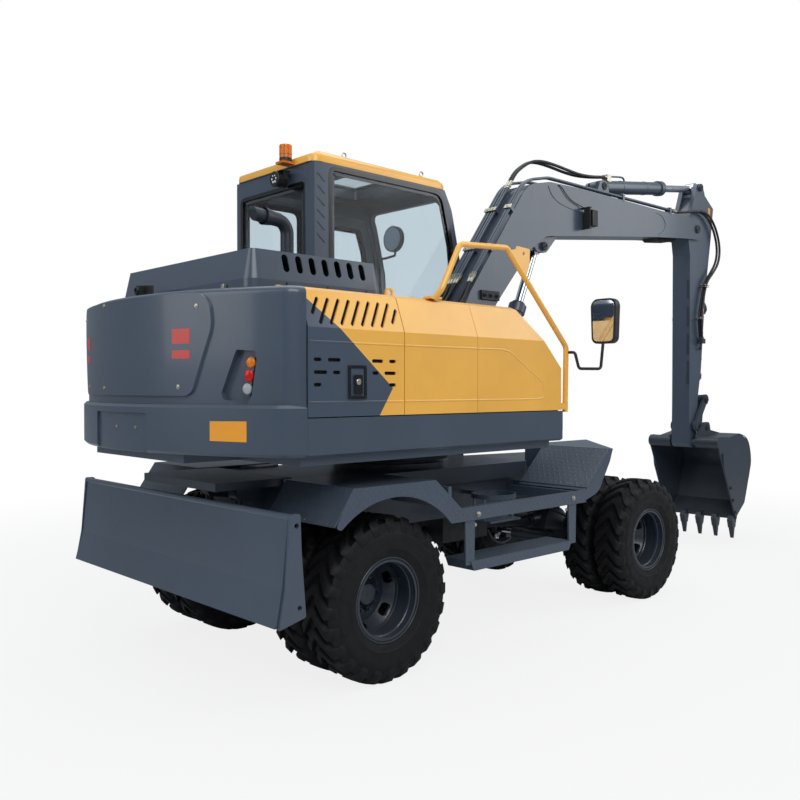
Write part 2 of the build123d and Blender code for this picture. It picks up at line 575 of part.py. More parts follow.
def wing_seat(x):
    """Pin with two lugs that carries a lifting door, right-hand side."""
    seat = bar((x - 42, *WING_AXIS), (x + 42, *WING_AXIS), WING_PIN_R)
    for dx in (-42, 34):
        seat += bar((x + dx, *WING_AXIS), (x + dx + 8, *WING_AXIS), WING_PIN_R + 2.5)
        seat += block(x + dx, x + dx + 8, WING_AXIS[0], WING_AXIS[0] + 40, HOUSE_TOP, WING_AXIS[1] + 5)
    return seat


def wing_strap(x):
    """Door-side half of the same hinge."""
    eye = bar((x - 30, *WING_AXIS), (x + 30, *WING_AXIS), WING_EYE_R)
    leaf = block(x - 30, x + 30, WING_AXIS[0] - 62, WING_AXIS[0], HOUSE_TOP + 2, HOUSE_TOP + 8)
    foot = block(x - 30, x + 30, WING_AXIS[0] - 62, WING_AXIS[0] - 16, HOUSE_TOP, HOUSE_TOP + 8)
    return eye + leaf + foot - bar((x - 31, *WING_AXIS), (x + 31, *WING_AXIS), WING_PIN_R + PIN_GAP)


node("top_frame", right_rail, left_rail, front_rail, left_strip, *hood_lugs,
     *[wing_seat(x) for x in RIGHT_HINGES],
     *[mirrored(wing_seat(x)) for x in LEFT_HINGES])

skirt = slab_x([(-SIDE_Y, SKIRT_Z), (-SIDE_Y, PANEL_Z - 5), (-SIDE_Y + 10, PANEL_Z - 5),
                (-SIDE_Y + 10, SKIRT_Z + 10), (-996, SKIRT_Z + 10),
                (-996, DECK_UP), (-1030, DECK_UP)], TAIL_FRONT + 2, SKIRT_NOSE)
skirt -= slab_y([(SKIRT_NOSE - 60, 1195), (SKIRT_NOSE - 60, SKIRT_Z - 6), (SKIRT_NOSE + 5, SKIRT_Z + 55),
                 (SKIRT_NOSE + 30, 1195)], -1100, -1049)
left_skirt = mirrored(skirt) - block(-492, 900, 900, 1100, 1244, 1500)
node("skirts", skirt, left_skirt)

# Counterweight

CORNER_SHARE = 0.92


def tail_corner(radius, half_w):
    """Fillet that takes most of the flat side in front of the tail's round."""
    reach = math.sqrt(radius ** 2 - half_w ** 2)
    turn = math.pi / 2 - math.asin(half_w / radius)
    return CORNER_SHARE * (reach + TAIL_FRONT) / math.tan(turn / 2)


TAIL_CUT = -TAIL_R - 125
upper_mass = slab_z([(TAIL_FRONT, -SIDE_Y + 6), (TAIL_CUT, -SIDE_Y + 6), (TAIL_CUT, SIDE_Y - 6),
                     (TAIL_FRONT, SIDE_Y - 6)], BELT_TOP - 30, HOUSE_TOP - 6)
upper_mass = upper_mass & Pos(0, 0, 1700) * Cylinder(TAIL_R - 28, 1200)
rear_corners = [e for e in upper_mass.edges().filter_by(Axis.Z) if e.center().X < TAIL_FRONT - 5]
upper_mass = fillet(rear_corners, tail_corner(TAIL_R - 28, SIDE_Y - 6))
upper_mass = fillet(upper_mass.faces().sort_by(Axis.Z)[-1].edges().filter_by(lambda e: e.center().X < TAIL_FRONT - 3), 34)
belt = slab_z([(TAIL_FRONT, -SIDE_Y - 2), (TAIL_CUT, -SIDE_Y - 2), (TAIL_CUT, SIDE_Y + 2),
               (TAIL_FRONT, SIDE_Y + 2)], SKIRT_Z - 7, BELT_TOP)
belt = belt & Pos(0, 0, 1700) * Cylinder(TAIL_R, 1200)
rear_corners = [e for e in belt.edges().filter_by(Axis.Z) if e.center().X < TAIL_FRONT - 5]
belt = fillet(rear_corners, tail_corner(TAIL_R, SIDE_Y + 2))
belt = chamfer([e for f in (belt.faces().sort_by(Axis.Z)[0],
                            belt.faces().sort_by(Axis.Z)[-1]) for e in f.edges()
                if e.center().X < TAIL_FRONT - 3], 14)
PAD = [(568, 1486, 60), (686, 1812, 170), (664, 1966, 90)]
pad = slab_x([(-y, z, r) for y, z, r in PAD] + [(y, z, r) for y, z, r in reversed(PAD)], -TAIL_R - 25,
             -TAIL_R + 275)
pad = pad & Pos(0, 0, 1700) * Cylinder(TAIL_R - 14, 1200)
PLATE_RECESS = 12
plate_place = slab_x([(-285, SKIRT_Z - 40), (-285, 1402, 14), (255, 1402, 14), (255, SKIRT_Z - 40)],
                     -TAIL_R - 20, -TAIL_R + 100)
belt -= plate_place - Pos(0, 0, 1300) * Cylinder(TAIL_R - PLATE_RECESS, 500)
LAMP_TURN = 27
LAMP_DEPTH = 38
lamp_face = -TAIL_R + 28
lamp_place = slab_x([(50, 1698, 14), (-48, 1690, 14), (-54, 1650, 20), (-28, 1484, 14), (5, 1443, 14),
                     (120, 1471, 14),
                     (130, 1501, 14)], lamp_face - 60, lamp_face + LAMP_DEPTH)
tail_lamp = slab_x([(-8, 1668, 15), (-45, 1662, 15), (-15, 1484, 15), (20, 1489, 15)], lamp_face + 8,
                   lamp_face + LAMP_DEPTH + 8)
for turn in (LAMP_TURN, -LAMP_TURN):
    lamp_set = (lamp_place, tail_lamp) if turn > 0 else (mirrored(lamp_place), mirrored(tail_lamp))
    upper_mass -= Rot(0, 0, turn) * lamp_set[0]
    upper_mass += Rot(0, 0, turn) * lamp_set[1]
node("counterweight", upper_mass, belt, pad)
node("engine", block(TAIL_FRONT + 70, SEAM_1 - 14, -400, 400, DECK_UP, 1850))

# Side panels and doors


def shell_panel(x0, x1, top_y, nose=None, t=PANEL_T):
    """Right-hand side panel: vertical below the crease, leaning in above it, flat on top."""
    def body(inset, start, end):
        side = SIDE_Y - inset
        z_low = PANEL_Z - (20 if inset else 0)
        whole = slab_x([(-side, z_low), (-side, CREASE_Z - inset * 0.1),
                        (-985 + inset * 0.95, 1975 - inset * 0.9),
                        (-955 + inset * 0.3, HOUSE_TOP - inset), (top_y + inset * 2, HOUSE_TOP - inset),
                        (top_y + inset * 2, z_low)], start, end)
        if nose:
            whole = whole & slab_y([(start, z_low), (nose[1][0] - inset, z_low),
                                    (nose[1][0] - inset, nose[1][1] - inset * 0.4),
                                    (nose[0][0] - inset * 0.4, nose[0][1] - inset),
                                    (start, nose[0][1] - inset)], -1200, -100)
        return whole
    return body(0, x0, x1) - body(t, x0 - 10, x1 + (0 if nose else 10))


SEAM = 2.5
SLOT_PITCH = 63
SLOT_LEAN = -72
SLOT_TOP = 1934
SLOT_LOW = 1824
SLANTED = [(count, 1, 0) for count in range(1, 8)] + [(0, 0.6, 0), (8, 0.8, 0.25)]
door = shell_panel(TAIL_FRONT + 5, SEAM_1 - SEAM, -DOOR_HINGE_Y)
slot_first = TAIL_FRONT + 93
for count, low_share, top_share in SLANTED:
    ends = [(slot_first + SLOT_PITCH * count + SLOT_LEAN * share, SLOT_TOP + (SLOT_LOW - SLOT_TOP) * share)
            for share in (top_share, low_share)]
    door -= slot_y(ends[0], ends[1], 19, -SIDE_Y - 10, -SIDE_Y + 90)
# Columns: start and end from the door's rear edge, height
OVALS = [(46, 73, 1653), (127, 185, 1653), (397, 453, 1653), (509, 537, 1653), (46, 106, 1595),
         (157, 184, 1595),
         (400, 423, 1595), (478, 537, 1595), (46, 72, 1538), (508, 537, 1538)]
for start, end, height in OVALS:
    door -= slot_y((TAIL_FRONT + start, height), (TAIL_FRONT + end, height), 17, -SIDE_Y - 10, -SIDE_Y + 20)
LATCH_X = (TAIL_FRONT + 237, TAIL_FRONT + 350)
latch = block(LATCH_X[0], LATCH_X[1], -SIDE_Y - 3, -SIDE_Y + 4, 1471, 1630)
latch += block(LATCH_X[0] + 30, LATCH_X[1] - 30, -SIDE_Y - 8, -SIDE_Y, 1492, 1578)
node("door_right", door, latch, *[wing_strap(x) for x in RIGHT_HINGES])
NOSE = ((82, HOUSE_TOP), (PANEL_NOSE, 1640))
node("panels_right", shell_panel(SEAM_1 + SEAM, SEAM_2 - 1.5, -RAIL_IN_Y),
     shell_panel(SEAM_2 + 1.5, PANEL_NOSE, -RAIL_IN_Y, NOSE))
node("door_left", mirrored(shell_panel(TAIL_FRONT + 5, -561, -DOOR_HINGE_Y)),
     *[mirrored(wing_strap(x)) for x in LEFT_HINGES])

tank = block(-846, -590, -632, -215, DECK_UP, RAIL_BOTTOM) + block(-590, 60, -632, -215, DECK_UP, HOUSE_TOP)
tank += slab_y([(60, DECK_UP), (430, DECK_UP), (430, 1628), (60, 1975)], -632, -215)
node("tank", tank)
lid = bar((-510, -560, HOUSE_TOP), (-510, -560, HOUSE_TOP + 14), 150) + bar((-510, -560, HOUSE_TOP),
                                                                            (-510, -560, HOUSE_TOP + 40), 110)
lid += bar((-350, -560, HOUSE_TOP), (-350, -560, HOUSE_TOP + 55), 45)
lug = slab_y([(-545, HOUSE_TOP + 35), (-475, HOUSE_TOP + 35), (-480, HOUSE_TOP + 100, 30),
              (-540, HOUSE_TOP + 100, 30)], -566, -554)
lug -= pin_y((-510, HOUSE_TOP + 72), 18, -580, -540)
node("tank_lid", lid, lug)

# Hood with the exhaust stub

TAPER = 12
hood_base = Plane.XY.offset(HOOD_Z + HOOD_SKIRT) * (Pos((HOOD_REAR + HOOD_FRONT) / 2, 0) * RectangleRounded(
        HOOD_FRONT - HOOD_REAR, 2 * HOOD_HALF_W, 60))
low_base = Plane.XY.offset(HOOD_Z) * (Pos((HOOD_REAR + HOOD_FRONT) / 2, 0) * RectangleRounded(
        HOOD_FRONT - HOOD_REAR, 2 * HOOD_HALF_W, 60))
hood = extrude(low_base, HOOD_SKIRT) + extrude(hood_base, HOOD_H - HOOD_SKIRT, taper=TAPER)
inner_low = Plane.XY.offset(HOOD_Z - 1) * (Pos((HOOD_REAR + HOOD_FRONT) / 2, 0) * RectangleRounded(
        HOOD_FRONT - HOOD_REAR - 14, 2 * HOOD_HALF_W - 14, 54))
inner_up = Plane.XY.offset(HOOD_Z + HOOD_SKIRT - 1) * (Pos((HOOD_REAR + HOOD_FRONT) / 2,
                                                           0) * RectangleRounded(
        HOOD_FRONT - HOOD_REAR - 14, 2 * HOOD_HALF_W - 14, 54))
hood -= extrude(inner_low, HOOD_SKIRT) + extrude(inner_up, HOOD_H - HOOD_SKIRT - 6, taper=TAPER)
for count in range(7):
    slot_x = HOOD_REAR + 220 + 83 * count
    slot = slot_y((slot_x, HOOD_Z + HOOD_H - 33), (slot_x + 4, HOOD_Z + HOOD_H - 84), 38, -HOOD_HALF_W - 10,
                  -HOOD_HALF_W + 60)
    hood -= at_both(slot)
for y in (-400, 400):
    hood += block(HOOD_FRONT - 8, HOOD_AXIS[0] + 12, y - 34, y + 34, HOOD_AXIS[1] - 14, HOOD_AXIS[1] + 14)
    hood -= pin_y(HOOD_AXIS, HINGE_PIN_R + PIN_GAP, y - 40, y + 40)
node("hood", hood)
HOOD_TOP = HOOD_Z + HOOD_H
EXHAUST_X = HOOD_REAR + 470
pipe_path = FilletPolyline((EXHAUST_X, -330, HOOD_TOP), (EXHAUST_X, -330, 2420),
                           (EXHAUST_X - 240, -350, 2436), radius=70)
exhaust = sweep(Plane(origin=(EXHAUST_X, -330, HOOD_TOP), z_dir=(0, 0, 1)) * Circle(EXHAUST_R), pipe_path)
exhaust -= slab_y([(EXHAUST_X - 270, 2370), (EXHAUST_X - 212, 2370), (EXHAUST_X - 250, 2490),
                   (EXHAUST_X - 290, 2490)], -450, -250)
node("exhaust_pipe", exhaust)

# Handrail and mirrors

RAIL_Y = -1022
rail_points = [(-578, RAIL_Y + 40, HOUSE_TOP), (-560, RAIL_Y, 2040), (-420, RAIL_Y, 2292),
               (-30, RAIL_Y, 2316), (538, RAIL_Y, 1773), (530, RAIL_Y, 1376)]
handrail = sweep(Plane(origin=rail_points[0],
                       z_dir=Vector(*rail_points[1]) - Vector(*rail_points[0])) * Circle(16),
                 FilletPolyline(*rail_points, radius=45))
handrail += block(-620, -536, RAIL_Y + 22, RAIL_Y + 78, HOUSE_TOP, HOUSE_TOP + 12)
gusset = slab_y([(52, 2318), (60, 2336, 6), (176, 2330, 14), (172, 2228, 14), (136, 2150), (-20, 2300)],
                RAIL_Y - 4, RAIL_Y + 4)
gusset -= pin_y((118, 2298), 11, RAIL_Y - 20, RAIL_Y + 20)
handrail += gusset
handrail += block(PANEL_NOSE, 540, RAIL_Y - 14, RAIL_Y + 14, 1392, 1430)
node("handrail", handrail)

mirror_arm = sweep(Plane(origin=(545, RAIL_Y - 16, 1740), z_dir=(0, -1, 0)) * Circle(9),
                   FilletPolyline((545, RAIL_Y - 16, 1740), (545, RAIL_Y - 60, 1740),
                                  (560, RAIL_Y - 80, 1640), (690, -1170, 1640),
                                  (700, -1180, 1800), radius=20))
glass_r = slab_x([(-1262, 1795, 40), (-1098, 1795, 40), (-1088, 2070, 50), (-1272, 2070, 50)], 700, 745)
left_arm = sweep(Plane(origin=(815, 1052, 2560), z_dir=(0, 1, 0)) * Circle(10),
                 FilletPolyline((815, 1052, 2560), (815, 1100, 2560), (1000, 1120, 2600),
                                (1128, 1140, 2640), (1128, 1162, 2760), radius=30))
left_arm += block(792, 838, CAB_LEFT, CAB_LEFT + 8, 2525, 2595)
left_glass = bar((1110, 1162.1, 2780), (1150, 1162.1, 2780), 108)
node("mirror_right", mirror_arm, glass_r)
node("mirror_left", left_arm, left_glass)

# Cab

CAB_PROFILE = [(CAB_REAR, CAB_FLOOR), (840, CAB_FLOOR, 40), (900, 1420, 60), (898, 1950), (870, 2440),
               (775, 2820, 200),
               (700, 2955), (CAB_REAR, 2955)]


def cab_body(inset):
    points = [(CAB_REAR + inset, CAB_FLOOR + inset), (840 - inset, CAB_FLOOR + inset, 30),
              (900 - inset, 1425, 50),
              (898 - inset, 1950), (870 - inset, 2440), (775 - inset, 2815, 180),
              (700 - inset * 0.9, 2955 + inset), (CAB_REAR + inset, 2955 + inset)]
    return slab_y(points, CAB_RIGHT + inset, CAB_LEFT - inset)


cab = slab_y(CAB_PROFILE, CAB_RIGHT, CAB_LEFT) - cab_body(CAB_WALL)
RIGHT_WINDOW = [(-350, 1700, 40), (790, 1700, 60), (800, 2300), (770, 2560), (670, 2925, 110),
                (-350, 2925, 40)]
REAR_WINDOW = [(270, 2120, 30), (985, 2120, 30), (985, 2830, 30), (270, 2830, 30)]
QUARTER_WINDOW = [(-420, 1950, 50), (60, 1950, 50), (60, 2850, 90), (-420, 2850, 50)]
DOORWAY = [(DOOR_REAR, DOOR_LOW), (DOOR_FRONT, DOOR_LOW), (DOOR_FRONT, 2300), (DOOR_FRONT - 45, 2640),
           (DOOR_FRONT - 130, DOOR_HIGH), (DOOR_REAR, DOOR_HIGH)]
WINDSCREEN = [(225, 1480, 40), (985, 1480, 40), (985, 2890, 60), (225, 2890, 60)]
cab -= slab_y(RIGHT_WINDOW, CAB_RIGHT - 10, CAB_RIGHT + CAB_WALL + 10)
cab -= slab_x(REAR_WINDOW, CAB_REAR - 10, CAB_REAR + CAB_WALL + 10)
cab -= slab_y(QUARTER_WINDOW, CAB_LEFT - CAB_WALL - 10, CAB_LEFT + 10)
cab -= slab_y(DOORWAY, CAB_LEFT - CAB_WALL - 10, CAB_LEFT + 10)
cab -= slab_x(WINDSCREEN, 640, 950)
for x in (-400, 700):
    for y in (CAB_RIGHT + 120, CAB_LEFT - 120):
        cab += bar((x, y, DECK_UP), (x, y, CAB_FLOOR + 5), 50)
for z in (1500, 2600):
    cab += bar((DOOR_REAR, CAB_LEFT + 18, z - 62), (DOOR_REAR, CAB_LEFT + 18, z - 3), 15)
    cab += block(DOOR_REAR - 60, DOOR_REAR, CAB_LEFT - 5, CAB_LEFT + 10, z - 62, z - 3)
node("cab_shell", cab)

roof = slab_y([(CAB_REAR - 12, 2955), (700, 2955), (735, 2985, 20), (590, ROOF_TOP, 120),
               (-400, ROOF_TOP, 60), (CAB_REAR - 12, 2992, 20)], CAB_RIGHT, CAB_LEFT)
roof = roof & slab_x([(CAB_RIGHT, 2940), (CAB_LEFT, 2940), (CAB_LEFT, 2990, 20), (CAB_LEFT - 60, 3046, 40),
                      (CAB_RIGHT + 60, 3046, 40), (CAB_RIGHT, 2990, 20)], CAB_REAR - 20, 760)
HATCH = (-60, 440, CAB_RIGHT + 200, CAB_LEFT - 200)
roof -= block(HATCH[0], HATCH[1], HATCH[2], HATCH[3], 2940, 3060)
node("cab_roof", roof)

panes = [slab_y(RIGHT_WINDOW, CAB_RIGHT + 8, CAB_RIGHT + 8 + GLASS_T),
         slab_x(REAR_WINDOW, CAB_REAR + 10, CAB_REAR + 10 + GLASS_T),
         slab_y(QUARTER_WINDOW, CAB_LEFT - 20, CAB_LEFT - 20 + GLASS_T),
         block(HATCH[0], HATCH[1], HATCH[2], HATCH[3], 3020, 3026)]
screen_out = slab_y(CAB_PROFILE, CAB_RIGHT, CAB_LEFT) & slab_x(WINDSCREEN, 640, 950)
screen_in = Pos(-GLASS_T, 0, 0) * slab_y(CAB_PROFILE, CAB_RIGHT - 20, CAB_LEFT + 20)
screen = Pos(-12, 0, 0) * (screen_out - screen_in)
node("cab_glass", *panes, screen)

leaf_points = [(DOOR_REAR + 5, DOOR_LOW + 5), (DOOR_FRONT - 5, DOOR_LOW + 5), (DOOR_FRONT - 5, 2299),
               (DOOR_FRONT - 50, 2638),
               (DOOR_FRONT - 133, DOOR_HIGH - 5), (DOOR_REAR + 5, DOOR_HIGH - 5)]
door_window = [(DOOR_REAR + 75, 1560, 40), (DOOR_FRONT - 75, 1560, 40), (DOOR_FRONT - 75, 2290),
               (DOOR_FRONT - 118, 2600),
               (DOOR_FRONT - 180, DOOR_HIGH - 75, 40), (DOOR_REAR + 75, DOOR_HIGH - 75, 40)]
leaf = slab_y(leaf_points, CAB_LEFT - 42, CAB_LEFT) - slab_y(door_window, CAB_LEFT - 60, CAB_LEFT + 20)
DOOR_AXIS_Y = CAB_LEFT + 18
for z in (1500, 2600):
    leaf += bar((DOOR_REAR, DOOR_AXIS_Y, z), (DOOR_REAR, DOOR_AXIS_Y, z + 70), 15)
    leaf += block(DOOR_REAR, DOOR_REAR + 60, CAB_LEFT - 5, CAB_LEFT + 10, z, z + 70)
leaf += block(DOOR_FRONT - 140, DOOR_FRONT - 40, CAB_LEFT, CAB_LEFT + 30, 1480, 1515)
node("cab_door", leaf)
node("cab_door_glass", slab_y(door_window, CAB_LEFT - 20, CAB_LEFT - 20 + GLASS_T))

IN_FLOOR = CAB_FLOOR + CAB_WALL
CAB_MID = (CAB_RIGHT + CAB_LEFT) / 2
seat = block(-180, 260, CAB_MID - 200, CAB_MID + 200, IN_FLOOR, IN_FLOOR + 260)
seat += block(-240, 280, CAB_MID - 240, CAB_MID + 240, IN_FLOOR + 260, IN_FLOOR + 400)
seat += slab_y([(-240, IN_FLOOR + 380), (-120, IN_FLOOR + 380), (-200, IN_FLOOR + 980, 30),
                (-290, IN_FLOOR + 980, 30)], CAB_MID - 230, CAB_MID + 230)
node("seat", seat)
console = block(-200, 330, CAB_RIGHT + CAB_WALL, CAB_MID - 245, IN_FLOOR, IN_FLOOR + 480)
column = bar((620, CAB_MID, IN_FLOOR - 20), (520, CAB_MID, IN_FLOOR + 620), 40) - block(500, 700,
        CAB_MID - 60, CAB_MID + 60, IN_FLOOR - 60, IN_FLOOR)
wheel = Plane(origin=(512, CAB_MID, IN_FLOOR + 640),
              z_dir=(-0.3, 0, 1)) * (Torus(170, 14) + Cylinder(40, 40))
spokes = Plane(origin=(512, CAB_MID, IN_FLOOR + 640), z_dir=(-0.3, 0, 1)) * Box(340, 26, 12)
node("controls", console, column + wheel + spokes)

beacon = block(-590, CAB_REAR - 12, 350, 432, 2962, 2976) + bar((-540, 391, 2970), (-540, 391, 3000), 26)
beacon += bar((-540, 391, 3000), (-540, 391, 3085), 40)
node("beacon", beacon)
lamp = block(-560, CAB_REAR, 410, 470, 2900, 2916) + bar((-580, 440, 2870), (-520, 440, 2870), 48)
node("work_lamps", lamp)

# Boom

BOOM = [(BOOM_FOOT[0] - 90, BOOM_FOOT[1] - 60, 80), (BOOM_FOOT[0] + 90, BOOM_FOOT[1] - 90, 80), (974, 2158),
        (1336, 2559), (1537, 2691, 200),
        (1939, 2740, 500), (3202, 2885), (3700, 2932), (3990, 2950, 60), (4030, 3047, 70), (3960, 3140, 60),
        (3604, 3133), (3307, 3129),
        (2023, 3128), (*BOOM_CREST, 300), (*BOOM_BACK_TOP, 300), BOOM_BACK_LOW]
FORK_DEPTH = 306
fork_gap = block(ARM_PIVOT[0] - FORK_DEPTH, ARM_PIVOT[0] + 190, -ARM_HALF_W - 6, ARM_HALF_W + 6, 2880, 3200)
rod_pocket = slab_y([(1372, 2500), (1372, 2560), (1390, 2675), (1410, 2705), (1450, 2723), (1500, 2712),
                     (1560, 2690),
                     (1618, 2640), (1618, 2500)], -51.5, 51.5)
boom = slab_y(BOOM, -BOOM_HALF_W, BOOM_HALF_W) - fork_gap - rod_pocket
boom -= pin_y(BOOM_FOOT, 42 + PIN_GAP, -200, 200)
boom += pin_y(ARM_PIVOT, 40, -BOOM_HALF_W - 10, BOOM_HALF_W + 10)
ear = slab_y([(1400, 2640), (1480, 2570, 60), (1590, 2570, 60), (1720, 2700), (1500, 2760)], 52, 80)
boom += at_both(ear) + at_both(pin_y(BOOM_CYL_PIN, 34, 80, 96))
top_ear = slab_y([(2280, 3110), (2344, 3262, 50), (2450, 3270, 50), (2478, 3170), (2560, 3110)], 47, 72)
boom += at_both(top_ear) + pin_y(ARM_CYL_BASE, 30, -72, 72)


def raised(points, rise):
    """Line of (x, z) places moved out to its left, with its corners kept."""
    moved = []
    for i, here in enumerate(points):
        near = [points[j] for j in (i - 1, i, i + 1) if 0 <= j < len(points)]
        ways = [Vector(b[0] - a[0], b[1] - a[1]) for a, b in zip(near, near[1:])]
        sides = [Vector(-way.Y, way.X).normalized() for way in ways]
        shift = (sides[0] + sides[-1]) * (rise / (1 + sides[0].dot(sides[-1])))
        moved.append((here[0] + shift.X, here[1] + shift.Y))
    return moved


def along_back(share, rise=0):
    """Place on the boom's straight back, from its low end, raised off it."""
    (x0, z0), (x1, z1) = raised([BOOM_BACK_LOW, BOOM_BACK_TOP], rise)
    return (x0 + (x1 - x0) * share, z0 + (z1 - z0) * share)


TOP_END = (3480, 3129)
LOOP_END = 0.965
# Columns: middle of the pair across the boom, whether it runs on to the tip
PIPE_PAIRS = [(-96, True), (96, True), (42, False)]
for middle, to_tip in PIPE_PAIRS:
    line = raised([along_back(0.1), BOOM_BACK_TOP, BOOM_CREST, TOP_END], PIPE_RISE)
    if not to_tip:
        line = [along_back(0.1, PIPE_RISE), along_back(LOOP_END, PIPE_RISE)]
    for y in (middle - PIPE_PAIR / 2, middle + PIPE_PAIR / 2):
        stops = [(x, y, z) for x, z in line]
        section = Plane(origin=stops[0], z_dir=Vector(*stops[1]) - Vector(*stops[0])) * Circle(PIPE_R)
        run = FilletPolyline(*stops, radius=320) if to_tip else Line(*stops)
        boom += sweep(section, run)
        boom += bar(stops[0], (stops[0][0] + 27, y, stops[0][2] + 36), PIPE_R + 4)
    for share in (0.37, 0.74):
        corners = [along_back(share + step, rise) for step, rise in
                   ((-0.013, -6), (0.013, -6), (0.013, PIPE_RISE + 14), (-0.013, PIPE_RISE + 14))]
        boom += slab_y(corners, middle - 27, middle + 27)
    if to_tip:
        for x in (2626, 3415):
            boom += block(x - 14, x + 14, middle - 27, middle + 27, 3118, 3129 + PIPE_RISE + 12)
lamp_box = slab_x([(-BOOM_HALF_W - 92, 2822, 8), (-BOOM_HALF_W - 12, 2822, 8), (-BOOM_HALF_W - 12, 2952, 8),
                   (-BOOM_HALF_W - 92, 2952, 8)], 2026, 2096)
lamp_box += block(2004, 2030, -BOOM_HALF_W - 80, -BOOM_HALF_W, 2800, 2812) + block(2004, 2030,
        -BOOM_HALF_W - 80, -BOOM_HALF_W, 2962, 2974)
lamp_box += block(2004, 2012, -BOOM_HALF_W - 80, -BOOM_HALF_W - 24, 2800, 2974) + block(2010, 2030,
        -BOOM_HALF_W - 60, -BOOM_HALF_W - 40, 2870, 2900)
node("boom", boom)
node("boom_lamp", lamp_box)

# Arm

ARM = [(BUCKET_PIVOT[0] - 88, BUCKET_PIVOT[1] - 50, 60), (BUCKET_PIVOT[0] + 60, BUCKET_PIVOT[1] - 60, 60),
       (3975, 1150), (4012, 1460), (4066, 1710), (4143, 2442),
       (4255, 3016), (4298, 3298), (4130, 3400), (4078, 3500, 50), (3975, 3500, 50), (3870, 3240),
       (3800, 3100), (3800, 2980), (3838, 2800), (3838, 1400)]
arm = slab_y(ARM, -ARM_HALF_W, ARM_HALF_W)
arm -= slab_y([(3700, 3128), (3790, 3128), (3985, 3365), (4005, 3385), (4300, 3385), (4300, 3620),
               (3700, 3620)], -47.5, 47.5)
arm -= pin_y(ARM_PIVOT, 40 + PIN_GAP, -200, 200)
arm += at_both(pin_y(ARM_CYL_PIN, 36, ARM_HALF_W, ARM_HALF_W + 14))
arm += pin_y(BUCKET_PIVOT, 30, -150, 150)
arm -= pin_y(ROCKER_PIVOT, 30 + PIN_GAP, -140, 140)
base_ear = slab_y([(4108, 2242), (4215, 2252, 40), (4245, 2330, 40), (4190, 2370, 30), (4130, 2380)], 39,
                  60)
arm += at_both(base_ear) + pin_y(BUCKET_CYL_BASE, 26, -60, 60)
node("arm", arm)

ROCKER_IN = ARM_HALF_W + 8
rocker = at_both(strap(ROCKER_PIVOT, ROCKER_PIN, 50, ROCKER_IN, ROCKER_IN + 24, 20) + pin_y(ROCKER_PIN, 30,
        42, ROCKER_IN + 30))
rocker += pin_y(ROCKER_PIVOT, 30, -ROCKER_IN - 30, ROCKER_IN + 30)
node("rocker", rocker)
bucket_link = strap(ROCKER_PIN, LINK_PIN, 46, 46, 80, 30 + PIN_GAP)
link_middle = ((ROCKER_PIN[0] + LINK_PIN[0]) / 2, (ROCKER_PIN[1] + LINK_PIN[1]) / 2)
node("bucket_link", at_both(bucket_link), pin_y(link_middle, 22, -60, 60))

# Bucket

SIDE = [(3885, 975, 50), (3925, 1060, 50), (4100, 1040), (4324, 1080, 60), (4500, 1010, 100),
        (4593, 802, 150), (4503, 553), (4440, 392), (4250, 255)]
SHELL_OUT = [(4100, 1046), (4324, 1080, 60), (4500, 1010, 100), (4593, 802, 150), (4503, 553), (4440, 392),
             (4236, 250), (4226, 262),
             (4428, 402), (4490, 560), (4578, 802, 140), (4490, 1000, 90), (4322, 1066, 50), (4100, 1032)]
bucket = at_both(slab_y(SIDE, BUCKET_HALF_W - PLATE_T, BUCKET_HALF_W))
bucket += slab_y(SHELL_OUT, -BUCKET_HALF_W, BUCKET_HALF_W)
tube = pin_y(BUCKET_PIVOT, 55, 128, BUCKET_HALF_W) - pin_y(BUCKET_PIVOT, 30 + PIN_GAP, 100, 155)
bucket += at_both(tube)
ear_plate = slab_y([(3870, 960, 45), (3975, 960, 45), (4330, 1040), (4330, 1080), (4150, 1110),
                    (4125, 1190, 40), (4030, 1190, 40), (3880, 1060, 50)],
                   ARM_HALF_W + 8 + 24 + 6, ARM_HALF_W + 8 + 24 + 6 + 22)
ear_plate -= pin_y(BUCKET_PIVOT, 30 + PIN_GAP, 90, 200)
bucket += at_both(ear_plate)
bucket += pin_y(LINK_PIN, 26, 86, 140) + pin_y(LINK_PIN, 26, -140, -86)
TOOTH_TIP = (4239, 64)
ADAPTER = [(4290, 300), (4262, 190), (4252, 166), (4206, 166), (4182, 240), (4205, 282)]
for y in (-330, -165, 0, 165, 330):
    bucket += slab_y(ADAPTER, y - 26, y + 26)
    foot = Plane(origin=(4229, y, 172), x_dir=(1, 0, 0), z_dir=(0, 0, -1)) * Rectangle(40, 46)
    tip = Plane(origin=(TOOTH_TIP[0], y, TOOTH_TIP[1]), x_dir=(1, 0, 0), z_dir=(0, 0, -1)) * Rectangle(12,
                                                                                                       30)
    bucket += loft([foot, tip])
cutter = slab_y([(4250, 250), (4215, 292), (3990, 748), (3962, 900), (4010, 900), (4040, 770), (4268, 300)],
                BUCKET_HALF_W, BUCKET_HALF_W + 10)
bucket += at_both(cutter)
node("bucket", bucket)

# Cylinders of the boom, arm and bucket

barrel, rod = cylinder_pair(BOOM_CYL_BASE, BOOM_CYL_PIN, 58, 32, 824, 100, 56, 32, PIN_GAP, 20, 352)
node("boom_cylinder_barrel", barrel)
node("boom_cylinder_rod", rod)
barrel, rod = cylinder_pair(ARM_CYL_BASE, ARM_CYL_PIN, 58, 32, 1040, 92, 52, 30, PIN_GAP, 20, 476)
node("arm_cylinder_barrel", barrel)
node("arm_cylinder_rod", rod)
barrel, rod = cylinder_pair(BUCKET_CYL_BASE, ROCKER_PIN, 46, 27, 690, 76, 46, 26, PIN_GAP, 20, 45)
node("bucket_cylinder_barrel", barrel)
node("bucket_cylinder_rod", rod)

os.makedirs("parts", exist_ok=True)
for name, shape in NODES.items():
    export_step(Pos(-ORIGIN_X, 0, 0) * shape, f"parts/{name}.step")
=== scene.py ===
import json
import math

